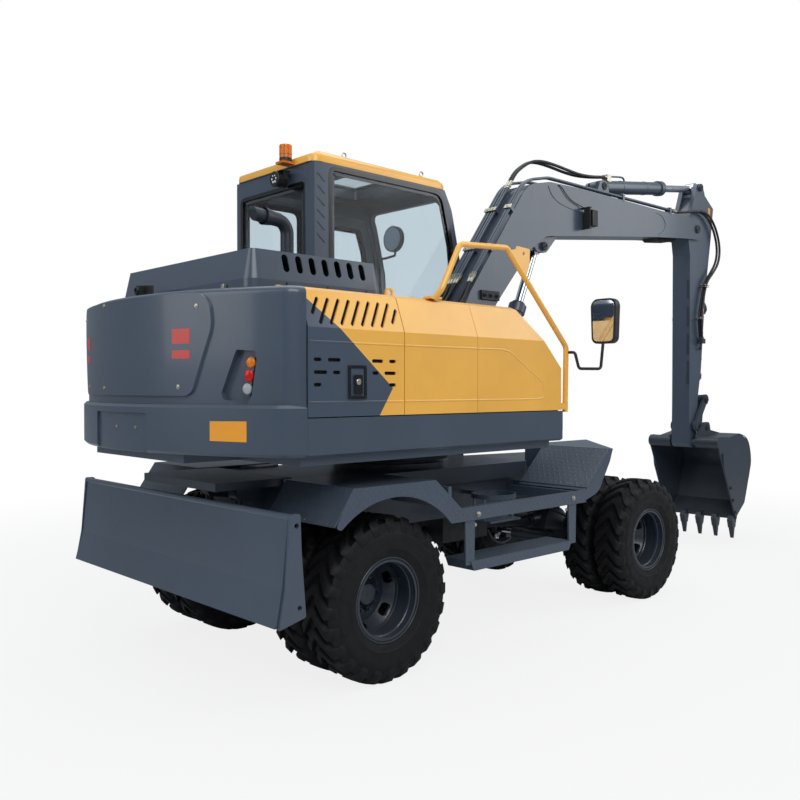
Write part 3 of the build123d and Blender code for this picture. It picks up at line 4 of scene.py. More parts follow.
import bmesh
import bpy
from mathutils import Matrix, Vector


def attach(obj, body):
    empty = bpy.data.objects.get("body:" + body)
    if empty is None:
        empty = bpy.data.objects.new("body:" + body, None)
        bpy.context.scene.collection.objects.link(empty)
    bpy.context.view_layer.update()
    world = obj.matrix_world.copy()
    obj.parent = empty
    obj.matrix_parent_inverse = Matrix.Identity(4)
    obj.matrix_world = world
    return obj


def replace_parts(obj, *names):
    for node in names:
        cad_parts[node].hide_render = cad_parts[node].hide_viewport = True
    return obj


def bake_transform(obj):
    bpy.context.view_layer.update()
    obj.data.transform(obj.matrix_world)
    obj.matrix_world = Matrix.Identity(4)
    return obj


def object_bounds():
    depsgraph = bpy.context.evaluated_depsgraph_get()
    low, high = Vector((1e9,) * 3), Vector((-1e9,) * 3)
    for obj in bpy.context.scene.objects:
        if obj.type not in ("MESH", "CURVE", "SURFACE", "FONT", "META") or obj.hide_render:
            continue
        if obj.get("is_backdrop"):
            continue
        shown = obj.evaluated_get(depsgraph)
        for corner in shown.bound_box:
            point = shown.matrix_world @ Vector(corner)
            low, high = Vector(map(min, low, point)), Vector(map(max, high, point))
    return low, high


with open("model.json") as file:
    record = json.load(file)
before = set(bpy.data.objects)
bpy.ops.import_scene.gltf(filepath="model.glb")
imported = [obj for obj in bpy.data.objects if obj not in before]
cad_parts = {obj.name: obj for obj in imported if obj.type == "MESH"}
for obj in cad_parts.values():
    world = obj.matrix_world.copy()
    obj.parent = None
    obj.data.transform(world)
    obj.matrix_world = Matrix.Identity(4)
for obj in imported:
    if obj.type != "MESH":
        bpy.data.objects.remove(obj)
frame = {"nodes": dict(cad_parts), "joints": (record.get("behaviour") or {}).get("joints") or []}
CAD_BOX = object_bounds()
NODES = frame["nodes"]
SWING = [j for j in frame["joints"] if j["name"] == "swing"][0]["pos_m"]
HANDS = {-1: "right", 1: "left"}
scene = bpy.context.scene


def at(x, y, z):
    """Point given in mm from the swing axis at ground level, as metres in the row frame."""
    return Vector((x / 1000 + SWING[0], y / 1000, z / 1000))


# Camera, solved from the photograph

CAMERA_PLACE = (-3777.1, -4110.4, 1524.5)
CAMERA_TURN = (89.168, 0.0, -43.36)
CAMERA_LENS = 38.23
camera_data = bpy.data.cameras.new("camera")
camera_data.lens = CAMERA_LENS
camera_data.sensor_width = 36.0
camera_data.clip_start = 0.05
camera_data.clip_end = 200.0
camera = bpy.data.objects.new("camera", camera_data)
camera.location = at(*CAMERA_PLACE)
camera.rotation_euler = [math.radians(v) for v in CAMERA_TURN]
scene.collection.objects.link(camera)
scene.camera = camera


# Node trees

MATERIALS = {}
EDGE = 0.002


class Graph:
    """Small helper that builds one node tree."""

    def __init__(self, tree):
        self.tree = tree

    def node(self, kind, **values):
        """New node; each value goes to the input of its name, or else to the setting."""
        made = self.tree.nodes.new(f"ShaderNode{kind}")
        for key, value in values.items():
            name = key.replace("_", " ")
            if name in made.inputs:
                made.inputs[name].default_value = value
            else:
                setattr(made, key, value)
        return made

    def link(self, start, end):
        self.tree.links.new(start, end)

    def feed(self, value, socket):
        """Link another node's output, or set a number or colour."""
        if isinstance(value, bpy.types.NodeSocket):
            self.link(value, socket)
        else:
            socket.default_value = value

    def split(self, vector):
        made = self.node("SeparateXYZ")
        self.link(vector, made.inputs[0])
        return made.outputs

    def axes(self, output="Object"):
        return self.split(self.node("TexCoord").outputs[output])

    def ramp(self, fac, stops):
        made = self.node("ValToRGB")
        ramp = made.color_ramp
        ramp.elements[0].position, ramp.elements[0].color = stops[0]
        ramp.elements[1].position, ramp.elements[1].color = stops[-1]
        for place, colour in stops[1:-1]:
            ramp.elements.new(place).color = colour
        self.link(fac, made.inputs["Fac"])
        return made.outputs["Color"]

    def math(self, kind, a, b=0.0, clamp=False):
        made = self.node("Math", operation=kind, use_clamp=clamp)
        self.feed(a, made.inputs[0])
        self.feed(b, made.inputs[1])
        return made.outputs[0]

    def times(self, a, b, clamp=False):
        return self.math("MULTIPLY", a, b, clamp)

    def plus(self, a, b):
        return self.math("ADD", a, b)

    def minus(self, a, b, clamp=False):
        return self.math("SUBTRACT", a, b, clamp)

    def size(self, value):
        return self.math("ABSOLUTE", value)

    def blend(self, fac, a, b):
        """Number between a and b."""
        return self.plus(a, self.times(self.minus(b, a), fac))

    def over(self, value, edge=0.0):
        """1 where value is over edge, 0 where it is under, in metres."""
        return self.times(self.minus(value, edge - EDGE / 2), 1 / EDGE, True)

    def every(self, *masks):
        """Product of masks."""
        made = masks[0]
        for mask in masks[1:]:
            made = self.times(made, mask)
        return made

    def mix(self, fac, a, b):
        made = self.node("Mix", data_type="RGBA")
        for socket, value in ((0, fac), (6, a), (7, b)):
            self.feed(value, made.inputs[socket])
        return made.outputs[2]

    def mix_shaders(self, fac, a, b):
        made = self.node("MixShader")
        for socket, value in enumerate((fac, a, b)):
            self.link(value, made.inputs[socket])
        return made.outputs[0]

    def noise(self, scale, detail=4.0):
        made = self.node("TexNoise", Scale=scale, Detail=detail, Roughness=0.55)
        self.link(self.node("TexCoord").outputs["Object"], made.inputs["Vector"])
        return made.outputs["Fac"]

    def drift(self, scale, detail, colour, low, high, stop):
        """Colour that drifts with noise between two shares of itself, held under white."""
        tones = [tuple(min(1, c * share) for c in colour[:3]) + (1,) for share in (low, high)]
        return self.ramp(self.noise(scale, detail), list(zip((0.3, stop), tones)))

    def bump(self, height, strength, distance=0.001, normal=None):
        made = self.node("Bump", Strength=strength, Distance=distance)
        self.link(height, made.inputs["Height"])
        if normal is not None:
            self.link(normal, made.inputs["Normal"])
        return made.outputs["Normal"]


class Maker(Graph):
    """Node material round one shader, kept under its key."""

    def __init__(self, key, ending=""):
        self.material = bpy.data.materials.new(key + ending)
        self.material.use_nodes = True
        super().__init__(self.material.node_tree)
        self.shader = self.tree.nodes["Principled BSDF"]
        MATERIALS[key] = self.material

    def set(self, **values):
        """Feed the shader's inputs of those names."""
        for key, value in values.items():
            self.feed(value, self.shader.inputs[key.replace("_", " ")])


# Light and world

scene.view_settings.view_transform = "Standard"
# Columns: name, place, target, size, power
LIGHTS = [("key", (-3500, -6500, 6500), (600, 0, 1200), (6.0, 5.0), 330),
          ("fill", (-7500, 1500, 4200), (0, 0, 1200), (5.0, 5.0), 130),
          ("front", (6500, -4500, 5000), (1500, 0, 1500), (5.0, 5.0), 150),
          ("top", (1200, 800, 8500), (1200, 0, 0), (8.0, 7.0), 260)]
for name, place, target, size, power in LIGHTS:
    data = bpy.data.lights.new(name, "AREA")
    data.shape = "RECTANGLE"
    data.size, data.size_y = size
    data.energy = power
    lamp = bpy.data.objects.new(name, data)
    lamp.location = at(*place)
    lamp.rotation_euler = (at(*target) - lamp.location).to_track_quat("-Z", "Y").to_euler()
    scene.collection.objects.link(lamp)

# White to the camera and through glass, and a soft grey sky from below to above for all other rays
WHITE = (1, 1, 1, 1)
SKY_STRENGTH = 0.42
SKY = [(0.38, (0.12, 0.13, 0.15, 1)), (0.53, (0.46, 0.52, 0.60, 1)), (0.9, (0.84, 0.94, 1.06, 1))]
world = bpy.data.worlds.new("studio")
scene.world = world
world.use_nodes = True
sky = Graph(world.node_tree)
sky.tree.nodes.clear()
raised = sky.node("MapRange", From_Min=-1.0)
sky.link(sky.axes("Generated")["Z"], raised.inputs["Value"])
soft = sky.node("Background", Strength=SKY_STRENGTH)
sky.link(sky.ramp(raised.outputs[0], SKY), soft.inputs["Color"])
white = sky.node("Background", Color=WHITE, Strength=1.0)
rays = sky.node("LightPath").outputs
seen = sky.math("MAXIMUM", rays["Is Camera Ray"], rays["Is Transmission Ray"])
sky.link(sky.mix_shaders(seen, soft.outputs[0], white.outputs[0]), sky.node("OutputWorld").inputs["Surface"])


# Materials

def srgb(r, g, b):
    """8-bit screen colour to linear RGBA."""
    linear = [((c / 255 + 0.055) / 1.055) ** 2.4 if c > 10 else c / 255 / 12.92 for c in (r, g, b)]
    return (*linear, 1.0)


def grey(v):
    return (v, v, v, 1)


DUST = srgb(176, 168, 150)


def paint(key, colour, rough=0.30, coat=0.45, dust=0.06, mask=None, other=None, plate=False):
    """Sprayed machine paint: faint tone drift, orange peel, a little dust on upward faces.

    A mask turns to the other colour where it is 1; plate adds the raised lozenges of chequer plate.
    """
    m = Maker(key, "_paint")
    tone = m.drift(2.2, 3.0, colour, 0.94, 1.05, 0.7)
    if mask:
        tone = m.mix(mask(m), tone, other)
    up = m.math("MAXIMUM", m.split(m.node("NewGeometry").outputs["Normal"])["Z"], 0.0)
    tone = m.mix(m.times(m.times(up, m.noise(7.0, 5.0)), dust, True), tone, DUST)
    peel = m.bump(m.noise(380.0, 2.0), 0.10, 0.0004)
    m.set(Base_Color=tone, Roughness=m.drift(14.0, 5.0, grey(rough), 0.93, 1.1, 0.75),
          Normal=m.bump(lozenges(m), 0.8, 0.0022, peel) if plate else peel,
          Coat_Weight=coat, Coat_Roughness=0.12)


PLATE_PITCH = 0.042
LOZENGE = (0.46, 0.13)
STEEP = 0.45


def lozenges(m):
    """Height of raised lozenges, alternately turned, on flat and sloping plates."""
    x, y, z = m.axes()
    facing = [m.size(n) for n in m.axes("Normal")]
    along = m.blend(m.over(m.minus(facing[0], m.math("MAXIMUM", facing[1], STEEP))), x, z)
    across = m.blend(m.over(m.minus(facing[1], m.math("MAXIMUM", facing[0], STEEP))), y, z)
    heights = []
    for shift in (0.0, 0.5):
        a, b = [m.minus(m.math("FRACT", m.plus(m.times(c, 1 / PLATE_PITCH), shift)), 0.5)
                for c in (along, across)]
        slants = [m.plus(a, b), m.minus(a, b)]
        if shift:
            slants.reverse()
        long, short = [m.math("POWER", m.size(m.times(v, 1 / s)), 2.0) for v, s in zip(slants, LOZENGE)]
        heights.append(m.minus(1.0, m.plus(long, short), True))
    return m.math("MAXIMUM", *heights)


SPLIT_CORNER = at(-934, 0, 1523)
SPLIT_RISE = 0.83
SPLIT_BACK = 0.656


def slate_corner(m):
    """Right door: slate below and behind a line that falls to a corner and turns back."""
    x, _, z = m.axes()
    line = m.minus(SPLIT_CORNER.z, m.times(m.minus(x, SPLIT_CORNER.x), SPLIT_RISE))
    turned = m.plus(SPLIT_CORNER.x, m.times(m.minus(z, SPLIT_CORNER.z), SPLIT_BACK))
    return m.times(m.over(m.minus(line, z)), m.over(m.minus(turned, x)))


CAB_LOW, CAB_HIGH = at(-479, 166, 1330), at(640, 1044, 2950)


def cab_inside(m):
    """Faces that look into the cab."""
    x, y, z = m.axes()
    inside = m.every(m.over(x, CAB_LOW.x), m.over(y, CAB_LOW.y), m.over(m.minus(CAB_HIGH.y, y)),
                     m.over(z, CAB_LOW.z))
    outer = m.times(m.over(x, CAB_HIGH.x), m.over(m.axes("Normal")[0], 0.3))
    return m.times(inside, m.minus(1.0, outer))


HATCH_LOW, HATCH_HIGH = at(-62, 358, 0), at(442, 852, 0)


def lining(m):
    """Underside of the roof and the walls of its hatch."""
    x, y, _ = m.axes()
    hatch = m.every(m.over(x, HATCH_LOW.x), m.over(y, HATCH_LOW.y), m.over(m.minus(HATCH_HIGH.x, x)),
                    m.over(m.minus(HATCH_HIGH.y, y)))
    return m.math("MAXIMUM", hatch, m.over(m.times(m.axes("Normal")[2], -1.0), 0.6))


SLATE = srgb(66, 78, 93)
YELLOW = srgb(250, 186, 78)
TRIM = srgb(58, 63, 70)
paint("slate", SLATE, 0.33, 0.4)
paint("slate_dark", srgb(46, 55, 67), 0.42, 0.2, 0.12)
paint("yellow", YELLOW)
paint("rim", srgb(38, 48, 60), 0.36, 0.3, 0.10)
paint("door", YELLOW, mask=slate_corner, other=SLATE)
paint("plate", SLATE, 0.36, 0.3, 0.10, plate=True)
paint("cab", SLATE, 0.33, 0.4, mask=cab_inside, other=TRIM)
paint("roof", YELLOW, mask=lining, other=TRIM)


def plain(key, colour, rough, metal=0.0, grain=0.0, depth=0.1, tone=0.12, coat=0.0):
    """Uniform stuff with tone and roughness drift and a fine grain."""
    m = Maker(key)
    m.set(Base_Color=m.drift(9.0, 5.0, colour, 1 - tone, 1 + tone, 0.72),
          Roughness=m.drift(23.0, 5.0, grey(rough), 0.82, 1.2, 0.75), Metallic=metal, Coat_Weight=coat)
    if grain:
        m.set(Normal=m.bump(m.noise(grain), depth))
    return m


plain("rubber", srgb(16, 16, 18), 0.66, 0.0, 260.0, 0.35, 0.3).set(Specular_IOR_Level=0.3)
plain("black_plastic", srgb(24, 25, 27), 0.5, 0.0, 500.0, 0.15)
plain("black_gloss", srgb(14, 15, 17), 0.2, tone=0.1, coat=0.4)
plain("cast", srgb(50, 52, 55), 0.6, 0.3, 160.0, 0.35)
plain("zinc", srgb(190, 186, 170), 0.34, 0.95, 300.0, 0.12)
plain("chrome", srgb(225, 228, 232), 0.09, 1.0)
plain("mirror", srgb(215, 220, 226), 0.04, 1.0)
plain("exhaust", srgb(38, 45, 54), 0.42, 0.2, 90.0, 0.2, 0.25)
plain("fabric", srgb(46, 48, 52), 0.9, 0.0, 900.0, 0.5)
plain("curtain", srgb(205, 190, 160), 0.85, 0.0, 700.0, 0.4, 0.08)
plain("hose", srgb(22, 22, 23), 0.45, 0.0, 420.0, 0.12)
plain("red", srgb(196, 50, 40), 0.35, tone=0.05, coat=0.3)
plain("white", srgb(232, 232, 230), 0.4, tone=0.03, coat=0.2)
plain("label_orange", srgb(240, 160, 40), 0.4, tone=0.04, coat=0.2)
# Near-black matte for painted shade: the gap under the side panels and the dark behind the vents.
plain("painted_shade", srgb(12, 12, 13), 0.9)

# Columns: colour, roughness, share that light passes, index of refraction
CLEAR = {"glass": ((0.70, 0.77, 0.81, 1), 0.0, 1.0, 1.2),
         "amber": (srgb(255, 140, 20), 0.12, 0.35, 1.45),
         "red_lens": (srgb(220, 30, 25), 0.12, 0.25, 1.45),
         "clear_lens": (srgb(235, 238, 240), 0.06, 0.6, 1.45)}
for key, (colour, rough, passed, ior) in CLEAR.items():
    Maker(key).set(Base_Color=colour, Roughness=rough, Transmission_Weight=passed, IOR=ior)

CORNERS = [f"{end}_{hand}" for end in ("rear", "front") for hand in ("left", "right")]
NODE_LOOK = {
    "slate": ["upper_frame", "top_frame", "counterweight", "skirts", "tank", "hood", "boom", "arm", "blade",
              "boom_cylinder_barrel", "arm_cylinder_barrel", "bucket_cylinder_barrel", "door_left"],
    "door": ["door_right"],
    "plate": ["deck_right", "deck_left"],
    "cab": ["cab_shell", "cab_door"],
    "roof": ["cab_roof"],
    "slate_dark": ["chassis", "rear_cover", "axle_rear", "axle_front", "blade_arms", "blade_links", "bucket",
                   "blade_cylinder_barrels", "rocker", "bucket_link"],
    "yellow": ["panels_right", "tank_lid", "handrail"],
    "rim": [f"rim_{corner}" for corner in CORNERS],
    "rubber": [f"tyres_{corner}" for corner in CORNERS],
    "cast": ["driveline", "knuckle_left", "knuckle_right", "engine"],
    "chrome": ["steering_rod", "blade_cylinder_rods", "boom_cylinder_rod", "arm_cylinder_rod",
               "bucket_cylinder_rod"],
    "black_plastic": ["mirror_right", "mirror_left", "controls", "work_lamps", "boom_lamp"],
    "fabric": ["seat"],
    "glass": ["cab_glass", "cab_door_glass"],
    "amber": ["beacon"],
    "exhaust": ["exhaust_pipe"],
}
for look, names in NODE_LOOK.items():
    for name in names:
        materials = NODES[name].data.materials
        materials.clear()
        materials.append(MATERIALS[look])


# Mesh tools, all sizes in mm of the working frame

class Shape:
    """One mesh under construction."""

    def __init__(self):
        self.mesh = bmesh.new()

    def loft(self, rings, round_about=True, caps=True):
        """Skin between rings of points."""
        made = [[self.mesh.verts.new(p) for p in ring] for ring in rings]
        for low, high in zip(made, made[1:]):
            count = len(low)
            for i in range(count if round_about else count - 1):
                j = (i + 1) % count
                self.mesh.faces.new((low[i], low[j], high[j], high[i]))
        if caps and round_about:
            self.mesh.faces.new(made[0][::-1])
            self.mesh.faces.new(made[-1])

    def turned(self, start, way, profile, sides=24, caps=True):
        """Body of revolution from (distance along, radius) pairs."""
        start, way = Vector(start), Vector(way).normalized()
        side = way.orthogonal().normalized()
        other = way.cross(side)
        turns = [math.tau * i / sides for i in range(sides)]
        self.loft([[start + way * far + (side * math.cos(t) + other * math.sin(t)) * radius for t in turns]
                   for far, radius in profile], True, caps)

    def bar(self, start, end, radius, sides=16):
        way = Vector(end) - Vector(start)
        self.turned(start, way, [(0, radius), (way.length, radius)], sides)

    def block(self, x0, x1, y0, y1, z0, z1):
        self.loft([[(x0, y0, z), (x1, y0, z), (x1, y1, z), (x0, y1, z)] for z in (z0, z1)])

    def slab(self, axis, points, start, stop):
        """Outline extruded along one axis; points are the other two coordinates."""
        self.loft([[on_plane(axis, level, *p) for p in points] for level in (start, stop)])

    def ring(self, axis, outer, inner, start, stop):
        """Flat frame between two outlines with as many points each."""
        walls = ((start, inner), (start, outer), (stop, outer), (stop, inner), (start, inner))
        self.loft([[on_plane(axis, level, *p) for p in line] for level, line in walls], True, False)

    def tube(self, points, radius, sides=10):
        """Round bar along a line of points."""
        points = [Vector(p) for p in points]
        side = (points[1] - points[0]).orthogonal().normalized()
        turns = [math.tau * k / sides for k in range(sides)]
        rings = []
        for i, here in enumerate(points):
            way = (points[min(i + 1, len(points) - 1)] - points[max(i - 1, 0)]).normalized()
            side = (side - way * side.dot(way)).normalized()
            other = way.cross(side)
            rings.append([here + (side * math.cos(t) + other * math.sin(t)) * radius for t in turns])
        self.loft(rings)

    def bolt(self, place, way, size):
        """Hexagon head on a washer."""
        self.turned(place, way, [(0, size * 1.35), (size * 0.2, size * 1.35)], 16)
        self.turned(place, way, [(size * 0.2, size), (size * 0.8, size), (size * 0.95, size * 0.8)], 6)

    def put(self, name, body, look, smooth=32, bevel=0.0):
        """Make the object, in metres of the row frame, riding on a body."""
        bmesh.ops.remove_doubles(self.mesh, verts=self.mesh.verts, dist=0.01)
        bmesh.ops.recalc_face_normals(self.mesh, faces=self.mesh.faces)
        self.mesh.transform(Matrix.Translation(at(0, 0, 0)) @ Matrix.Scale(0.001, 4))
        data = bpy.data.meshes.new(name)
        self.mesh.to_mesh(data)
        self.mesh.free()
        data.materials.append(MATERIALS[look])
        data.shade_smooth()
        data.set_sharp_from_angle(angle=math.radians(smooth))
        made = bpy.data.objects.new(name, data)
        scene.collection.objects.link(made)
        if bevel:
            rounding = made.modifiers.new("edges", "BEVEL")
            rounding.width = bevel / 1000
            rounding.segments = 2
            rounding.limit_method = "ANGLE"
        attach(made, body)
        return made


def on_plane(axis, level, a, b):
    return {"x": (level, a, b), "y": (a, level, b), "z": (a, b, level)}[axis]


def around(count, radius, first=0.0):
    """Offsets of points spaced evenly on a circle; first is a share of one step."""
    turns = [math.tau * (k + first) / count for k in range(count)]
    return [(radius * math.cos(turn), radius * math.sin(turn)) for turn in turns]


def rounded(points, steps=6):
    """Outline with its corners rounded by each point's third value."""
    line = []
    for i, p in enumerate(points):
        here = Vector(p[:2])
        if len(p) < 3:
            line.append(tuple(here))
            continue
        back = (Vector(points[i - 1][:2]) - here).normalized()
        ahead = (Vector(points[(i + 1) % len(points)][:2]) - here).normalized()
        half = math.acos(max(-1, min(1, back.dot(ahead)))) / 2
        cut = p[2] / math.tan(half)
        start, end = here + back * cut, here + ahead * cut
        for k in range(steps + 1):
            t = k / steps
            line.append(tuple(start * (1 - t) ** 2 + here * 2 * t * (1 - t) + end * t * t))
    return line


def oblong(a0, a1, b0, b1, radius, steps=6):
    """Rectangle with rounded corners."""
    return rounded([(a0, b0, radius), (a1, b0, radius), (a1, b1, radius), (a0, b1, radius)], steps)


def grown(line, reach):
    """Outline moved outwards, or inwards for a negative reach."""
    area = sum(a[0] * b[1] - b[0] * a[1] for a, b in zip(line, line[1:] + line[:1]))
    sign = 1 if area > 0 else -1
    made = []
    for i, p in enumerate(line):
        before, after = Vector(line[i - 1]), Vector(line[(i + 1) % len(line)])
        here = Vector(p)
        ways = [w.normalized() for w in (here - before, after - here) if w.length > 1e-6]
        sides = [Vector((w.y, -w.x)) * sign for w in ways]
        total = sides[0] + sides[-1]
        made.append(tuple(here + total * (reach / max(0.35, 1 + sides[0].dot(sides[-1])))))
    return made


def smooth_line(points, steps):
    """Points along a curve through the given ones."""
    pts = [Vector(p) for p in points]
    pts = [pts[0] * 2 - pts[1]] + pts + [pts[-1] * 2 - pts[-2]]
    line = []
    for a, b, c, d in zip(pts, pts[1:], pts[2:], pts[3:]):
        for k in range(steps):
            t = k / steps
            line.append(0.5 * (2 * b + (c - a) * t + (2 * a - 5 * b + 4 * c - d) * t * t
                               + (3 * b - a - 3 * c + d) * t ** 3))
    return line + [pts[-2]]


# Wheels

AXLES = {"rear": -830, "front": 1717}
AXLE_Z, WHEEL_Y = 432, 677
TWIN = 135
LUGS = 24
TYRE_SIDES = 96
NUT_CIRCLE = 88
# Columns: half width, radius of the carcass from bead to crown
CARCASS = [(64, 205.4), (89, 206), (92, 210), (92.6, 222), (95, 232), (103, 244), (104.5, 250), (108, 260),
           (110.4, 262), (111.4, 268), (110.6, 271), (114, 292), (117.2, 326), (116.8, 348), (113.5, 352),
           (113, 372), (107, 392), (98, 402), (60, 404), (0, 404.5)]
# Columns: y at the top and at the foot, radius at both, turn of the lug, half turn at both
LUG = [(0, 0, 431.6, 403, 14.6, 2.9, 4.0), (16, 16, 431.6, 403, 13.0, 2.9, 4.0),
       (36, 36, 431.4, 403, 9.6, 3.0, 4.1), (60, 60, 430.4, 402, 5.2, 3.2, 4.3),
       (80, 84, 428.4, 400, 1.8, 3.5, 4.5), (92, 102, 424, 394, 0.2, 3.7, 4.7),
       (108, 111, 400, 390, 0.0, 3.6, 4.5), (116.5, 113, 384, 376, 0.0, 3.3, 4.0),
       (117, 113, 358, 354, 0.0, 3.0, 3.4)]
# Columns: distance out from the wheel's middle, radius; the steps of the outer rim's well
RIM_BANDS = [(226.6, 222), (229, 219.5), (229, 215.5), (225, 212.5), (216, 207), (208, 203), (204, 194.4),
             (196, 193.2), (190, 193.2), (186, 189), (176, 187), (166, 187.5), (161, 192.5), (92, 192.8),
             (86, 189), (78, 189), (75, 194.6)]


def wheel_point(radius, turn, y):
    turn = math.radians(turn)
    return (-radius * math.sin(turn), y, -radius * math.cos(turn))


for name in CORNERS:
    end, hand = name.split("_")
    x, side = AXLES[end], (1 if hand == "left" else -1)
    body = f"wheel_{name}"
    out = (0, side, 0)
    mid = side * WHEEL_Y
    tyres = Shape()
    for middle in (-TWIN, TWIN):
        line = [(-y, r) for y, r in CARCASS] + CARCASS[-2::-1]
        tyres.loft([[wheel_point(r, 360 / TYRE_SIDES * k, middle + y) for k in range(TYRE_SIDES)]
                    for y, r in line], True, False)
        for count in range(LUGS):
            for way in (-1, 1):
                rings = []
                for y_top, y_foot, r_top, r_foot, turn, half_top, half_foot in LUG:
                    here = count * 360 / LUGS + turn
                    rings.append([wheel_point(r_top, here - half_top, middle + way * y_top),
                                  wheel_point(r_top, here + half_top, middle + way * y_top),
                                  wheel_point(r_foot - 2, here + half_foot, middle + way * y_foot),
                                  wheel_point(r_foot - 2, here - half_foot, middle + way * y_foot)])
                tyres.loft(rings)
    bmesh.ops.translate(tyres.mesh, verts=tyres.mesh.verts, vec=(x, mid, AXLE_Z))
    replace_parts(tyres.put(f"tyre_{name}", body, "rubber", 40), f"tyres_{name}")

    nuts = Shape()
    for dx, dz in around(10, NUT_CIRCLE):
        spot = (x + dx, mid + side * 17, AXLE_Z + dz)
        nuts.turned(spot, out, [(-4, 19), (3, 19), (7, 16)], 16)
        nuts.turned(spot, out, [(3, 15), (19, 15), (22, 12)], 6)
        nuts.turned(spot, out, [(22, 8.5), (36, 8.5), (38, 7)], 10)
    nuts.put(f"wheel_nuts_{name}", body, "rim", 30)
    hub = Shape()
    hub.turned((x, mid, AXLE_Z), out, [(56, 57), (60.5, 56), (63, 52), (63, 6), (65, 5), (65, 0.5)], 40)
    for dx, dz in around(5, 43, 0.25):
        hub.bolt((x + dx, mid + side * 62.5, AXLE_Z + dz), out, 4)
    hub.put(f"hub_cap_{name}", body, "rim", 30)
    bands = Shape()
    bands.turned((x, mid, AXLE_Z), out, RIM_BANDS, 72, False)
    bands.put(f"rim_bands_{name}", body, "rim", 24)
    valve = Shape()
    mouth = (x + 176, mid + side * (TWIN - 30), AXLE_Z + 68)
    valve.tube([(x + 150, mid + side * 60, AXLE_Z + 60), (x + 168, mid + side * 80, AXLE_Z + 66), mouth], 3.2)
    valve.turned(mouth, out, [(0, 5), (16, 5), (18, 4)], 10)
    valve.put(f"tyre_valve_{name}", body, "cast")


# Pipes on the boom, and hoses between boom, arm and upper frame

def hose(name, points, radius, bodies, start=None):
    """Flexible hose along a smooth line; given a start, it stays fixed where it lies in the row frame, else
    it rides on its body.
    """
    data = bpy.data.curves.new(name, "CURVE")
    data.dimensions = "3D"
    data.resolution_u = 10
    line = data.splines.new("NURBS")
    line.points.add(len(points) - 1)
    for point, place in zip(line.points, points):
        point.co = (*at(*place), 1)
    line.order_u = 3
    line.use_endpoint_u = True
    drawn = bpy.data.objects.new(f"{name}_line", data)
    scene.collection.objects.link(drawn)

    def as_mesh():
        bpy.context.view_layer.update()
        return bpy.data.meshes.new_from_object(drawn.evaluated_get(bpy.context.evaluated_depsgraph_get()))

    path = [list(v.co) for v in as_mesh().vertices]
    data.bevel_depth = radius / 1000
    data.bevel_resolution = 3
    skin = as_mesh()
    bpy.data.objects.remove(drawn)
    skin.name = name
    skin.materials.clear()
    skin.materials.append(MATERIALS["hose"])
    skin.shade_smooth()
    piece = bpy.data.objects.new(name, skin)
    scene.collection.objects.link(piece)
    if start:
        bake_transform(piece)
    else:
        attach(piece, *bodies)


BOOM_LOW, BOOM_TOP = Vector((669, 0, 2197)), Vector((1310, 0, 3052))
BACK = (BOOM_TOP - BOOM_LOW).normalized()
OFF_BACK = Vector((-BACK.z, 0, BACK.x))
PIPE_RISE = 34
TIP_PIPE_Z = 3163
LOOP_PIPES, ARM_PIPES = (30, 54), (84, 108)
PIPES = (-108, -84, *LOOP_PIPES, *ARM_PIPES)
# Columns: x, y past the pipe's, z of the first hose, and how far the second one lies from it in y and z
LOOP_ROUTE = [(1418, -2, 3222, 0, 0), (1525, -12, 3286, 0, 0), (1650, -22, 3309, 6, -10),
              (1800, -30, 3306, 8, -14), (1960, -38, 3292, 10, -14), (2120, -44, 3280, 8, -6),
              (2270, -50, 3288, 4, 0), (2390, -54, 3304, 0, 0), (2478, -54, 3320, 0, 0)]
# Columns: x, y, z of the inner hose, and how far the outer one lies from it in each
ARM_ROUTE = [(3534, 84, 3163, 0, 24, 0), (3620, 88, 3166, 0, 24, 0), (3730, 110, 3186, 0, 26, 0),
             (3850, 118, 3204, 0, 26, 0), (3975, 120, 3216, 0, 26, 6), (4100, 121, 3196, 0, 26, 6),
             (4215, 122, 3112, 0, 26, 6), (4295, 122, 2990, 6, 26, 0), (4322, 122, 2862, 6, 26, 0),
             (4282, 122, 2748, 6, 26, -6), (4180, 121, 2648, 0, 26, -6), (4085, 118, 2560, -6, 25, 0),
             (4046, 116, 2470, -6, 24, 0), (4018, 116, 2380, -6, 24, 0), (3985, 116, 2270, 0, 24, 0),
             (3972, 116, 2180, 0, 24, 0), (3984, 114, 2080, 0, 22, 0), (4004, 113, 1995, 0, 20, 0)]
# Columns: x, share of the pipe's y, z
FOOT_ROUTE = [(618, 1, 2160), (560, 0.96, 2080), (478, 0.92, 2005), (396, 0.88, 1925), (330, 0.85, 1830),
              (292, 0.85, 1730), (275, 0.85, 1640)]
FOOT_SLACK = 14


def on_back(share, y, rise=PIPE_RISE):
    """Point over the boom's rear flank, at a share of its length."""
    return BOOM_LOW + (BOOM_TOP - BOOM_LOW) * share + OFF_BACK * rise + Vector((0, y, 0))


fittings = Shape()
for y in PIPES:
    low = on_back(0.1, y)
    fittings.turned(low - BACK * 44, BACK, [(0, 12.5), (40, 12.5), (42, 14)], 14)
    fittings.turned(low - BACK * 2, BACK, [(0, 17.5), (22, 17.5), (24, 16)], 6)
    fittings.turned(low + BACK * 24, BACK, [(0, 15.5), (20, 15.5)], 6)
for y in LOOP_PIPES:
    high = on_back(0.965, y)
    fittings.turned(high - BACK * 8, BACK, [(0, 15), (18, 15)], 6)
    fittings.turned(high + BACK * 10, BACK, [(0, 17), (18, 17), (20, 13), (56, 13)], 14)
for side in HANDS:
    for y in ARM_PIPES:
        fittings.turned((3462, side * y, TIP_PIPE_Z), (1, 0, 0), [(0, 15), (20, 15)], 6)
        fittings.turned((3482, side * y, TIP_PIPE_Z), (1, 0, 0), [(0, 17), (18, 17), (20, 13), (54, 13)], 14)
fittings.put("pipe_fittings", "boom", "zinc", 30)

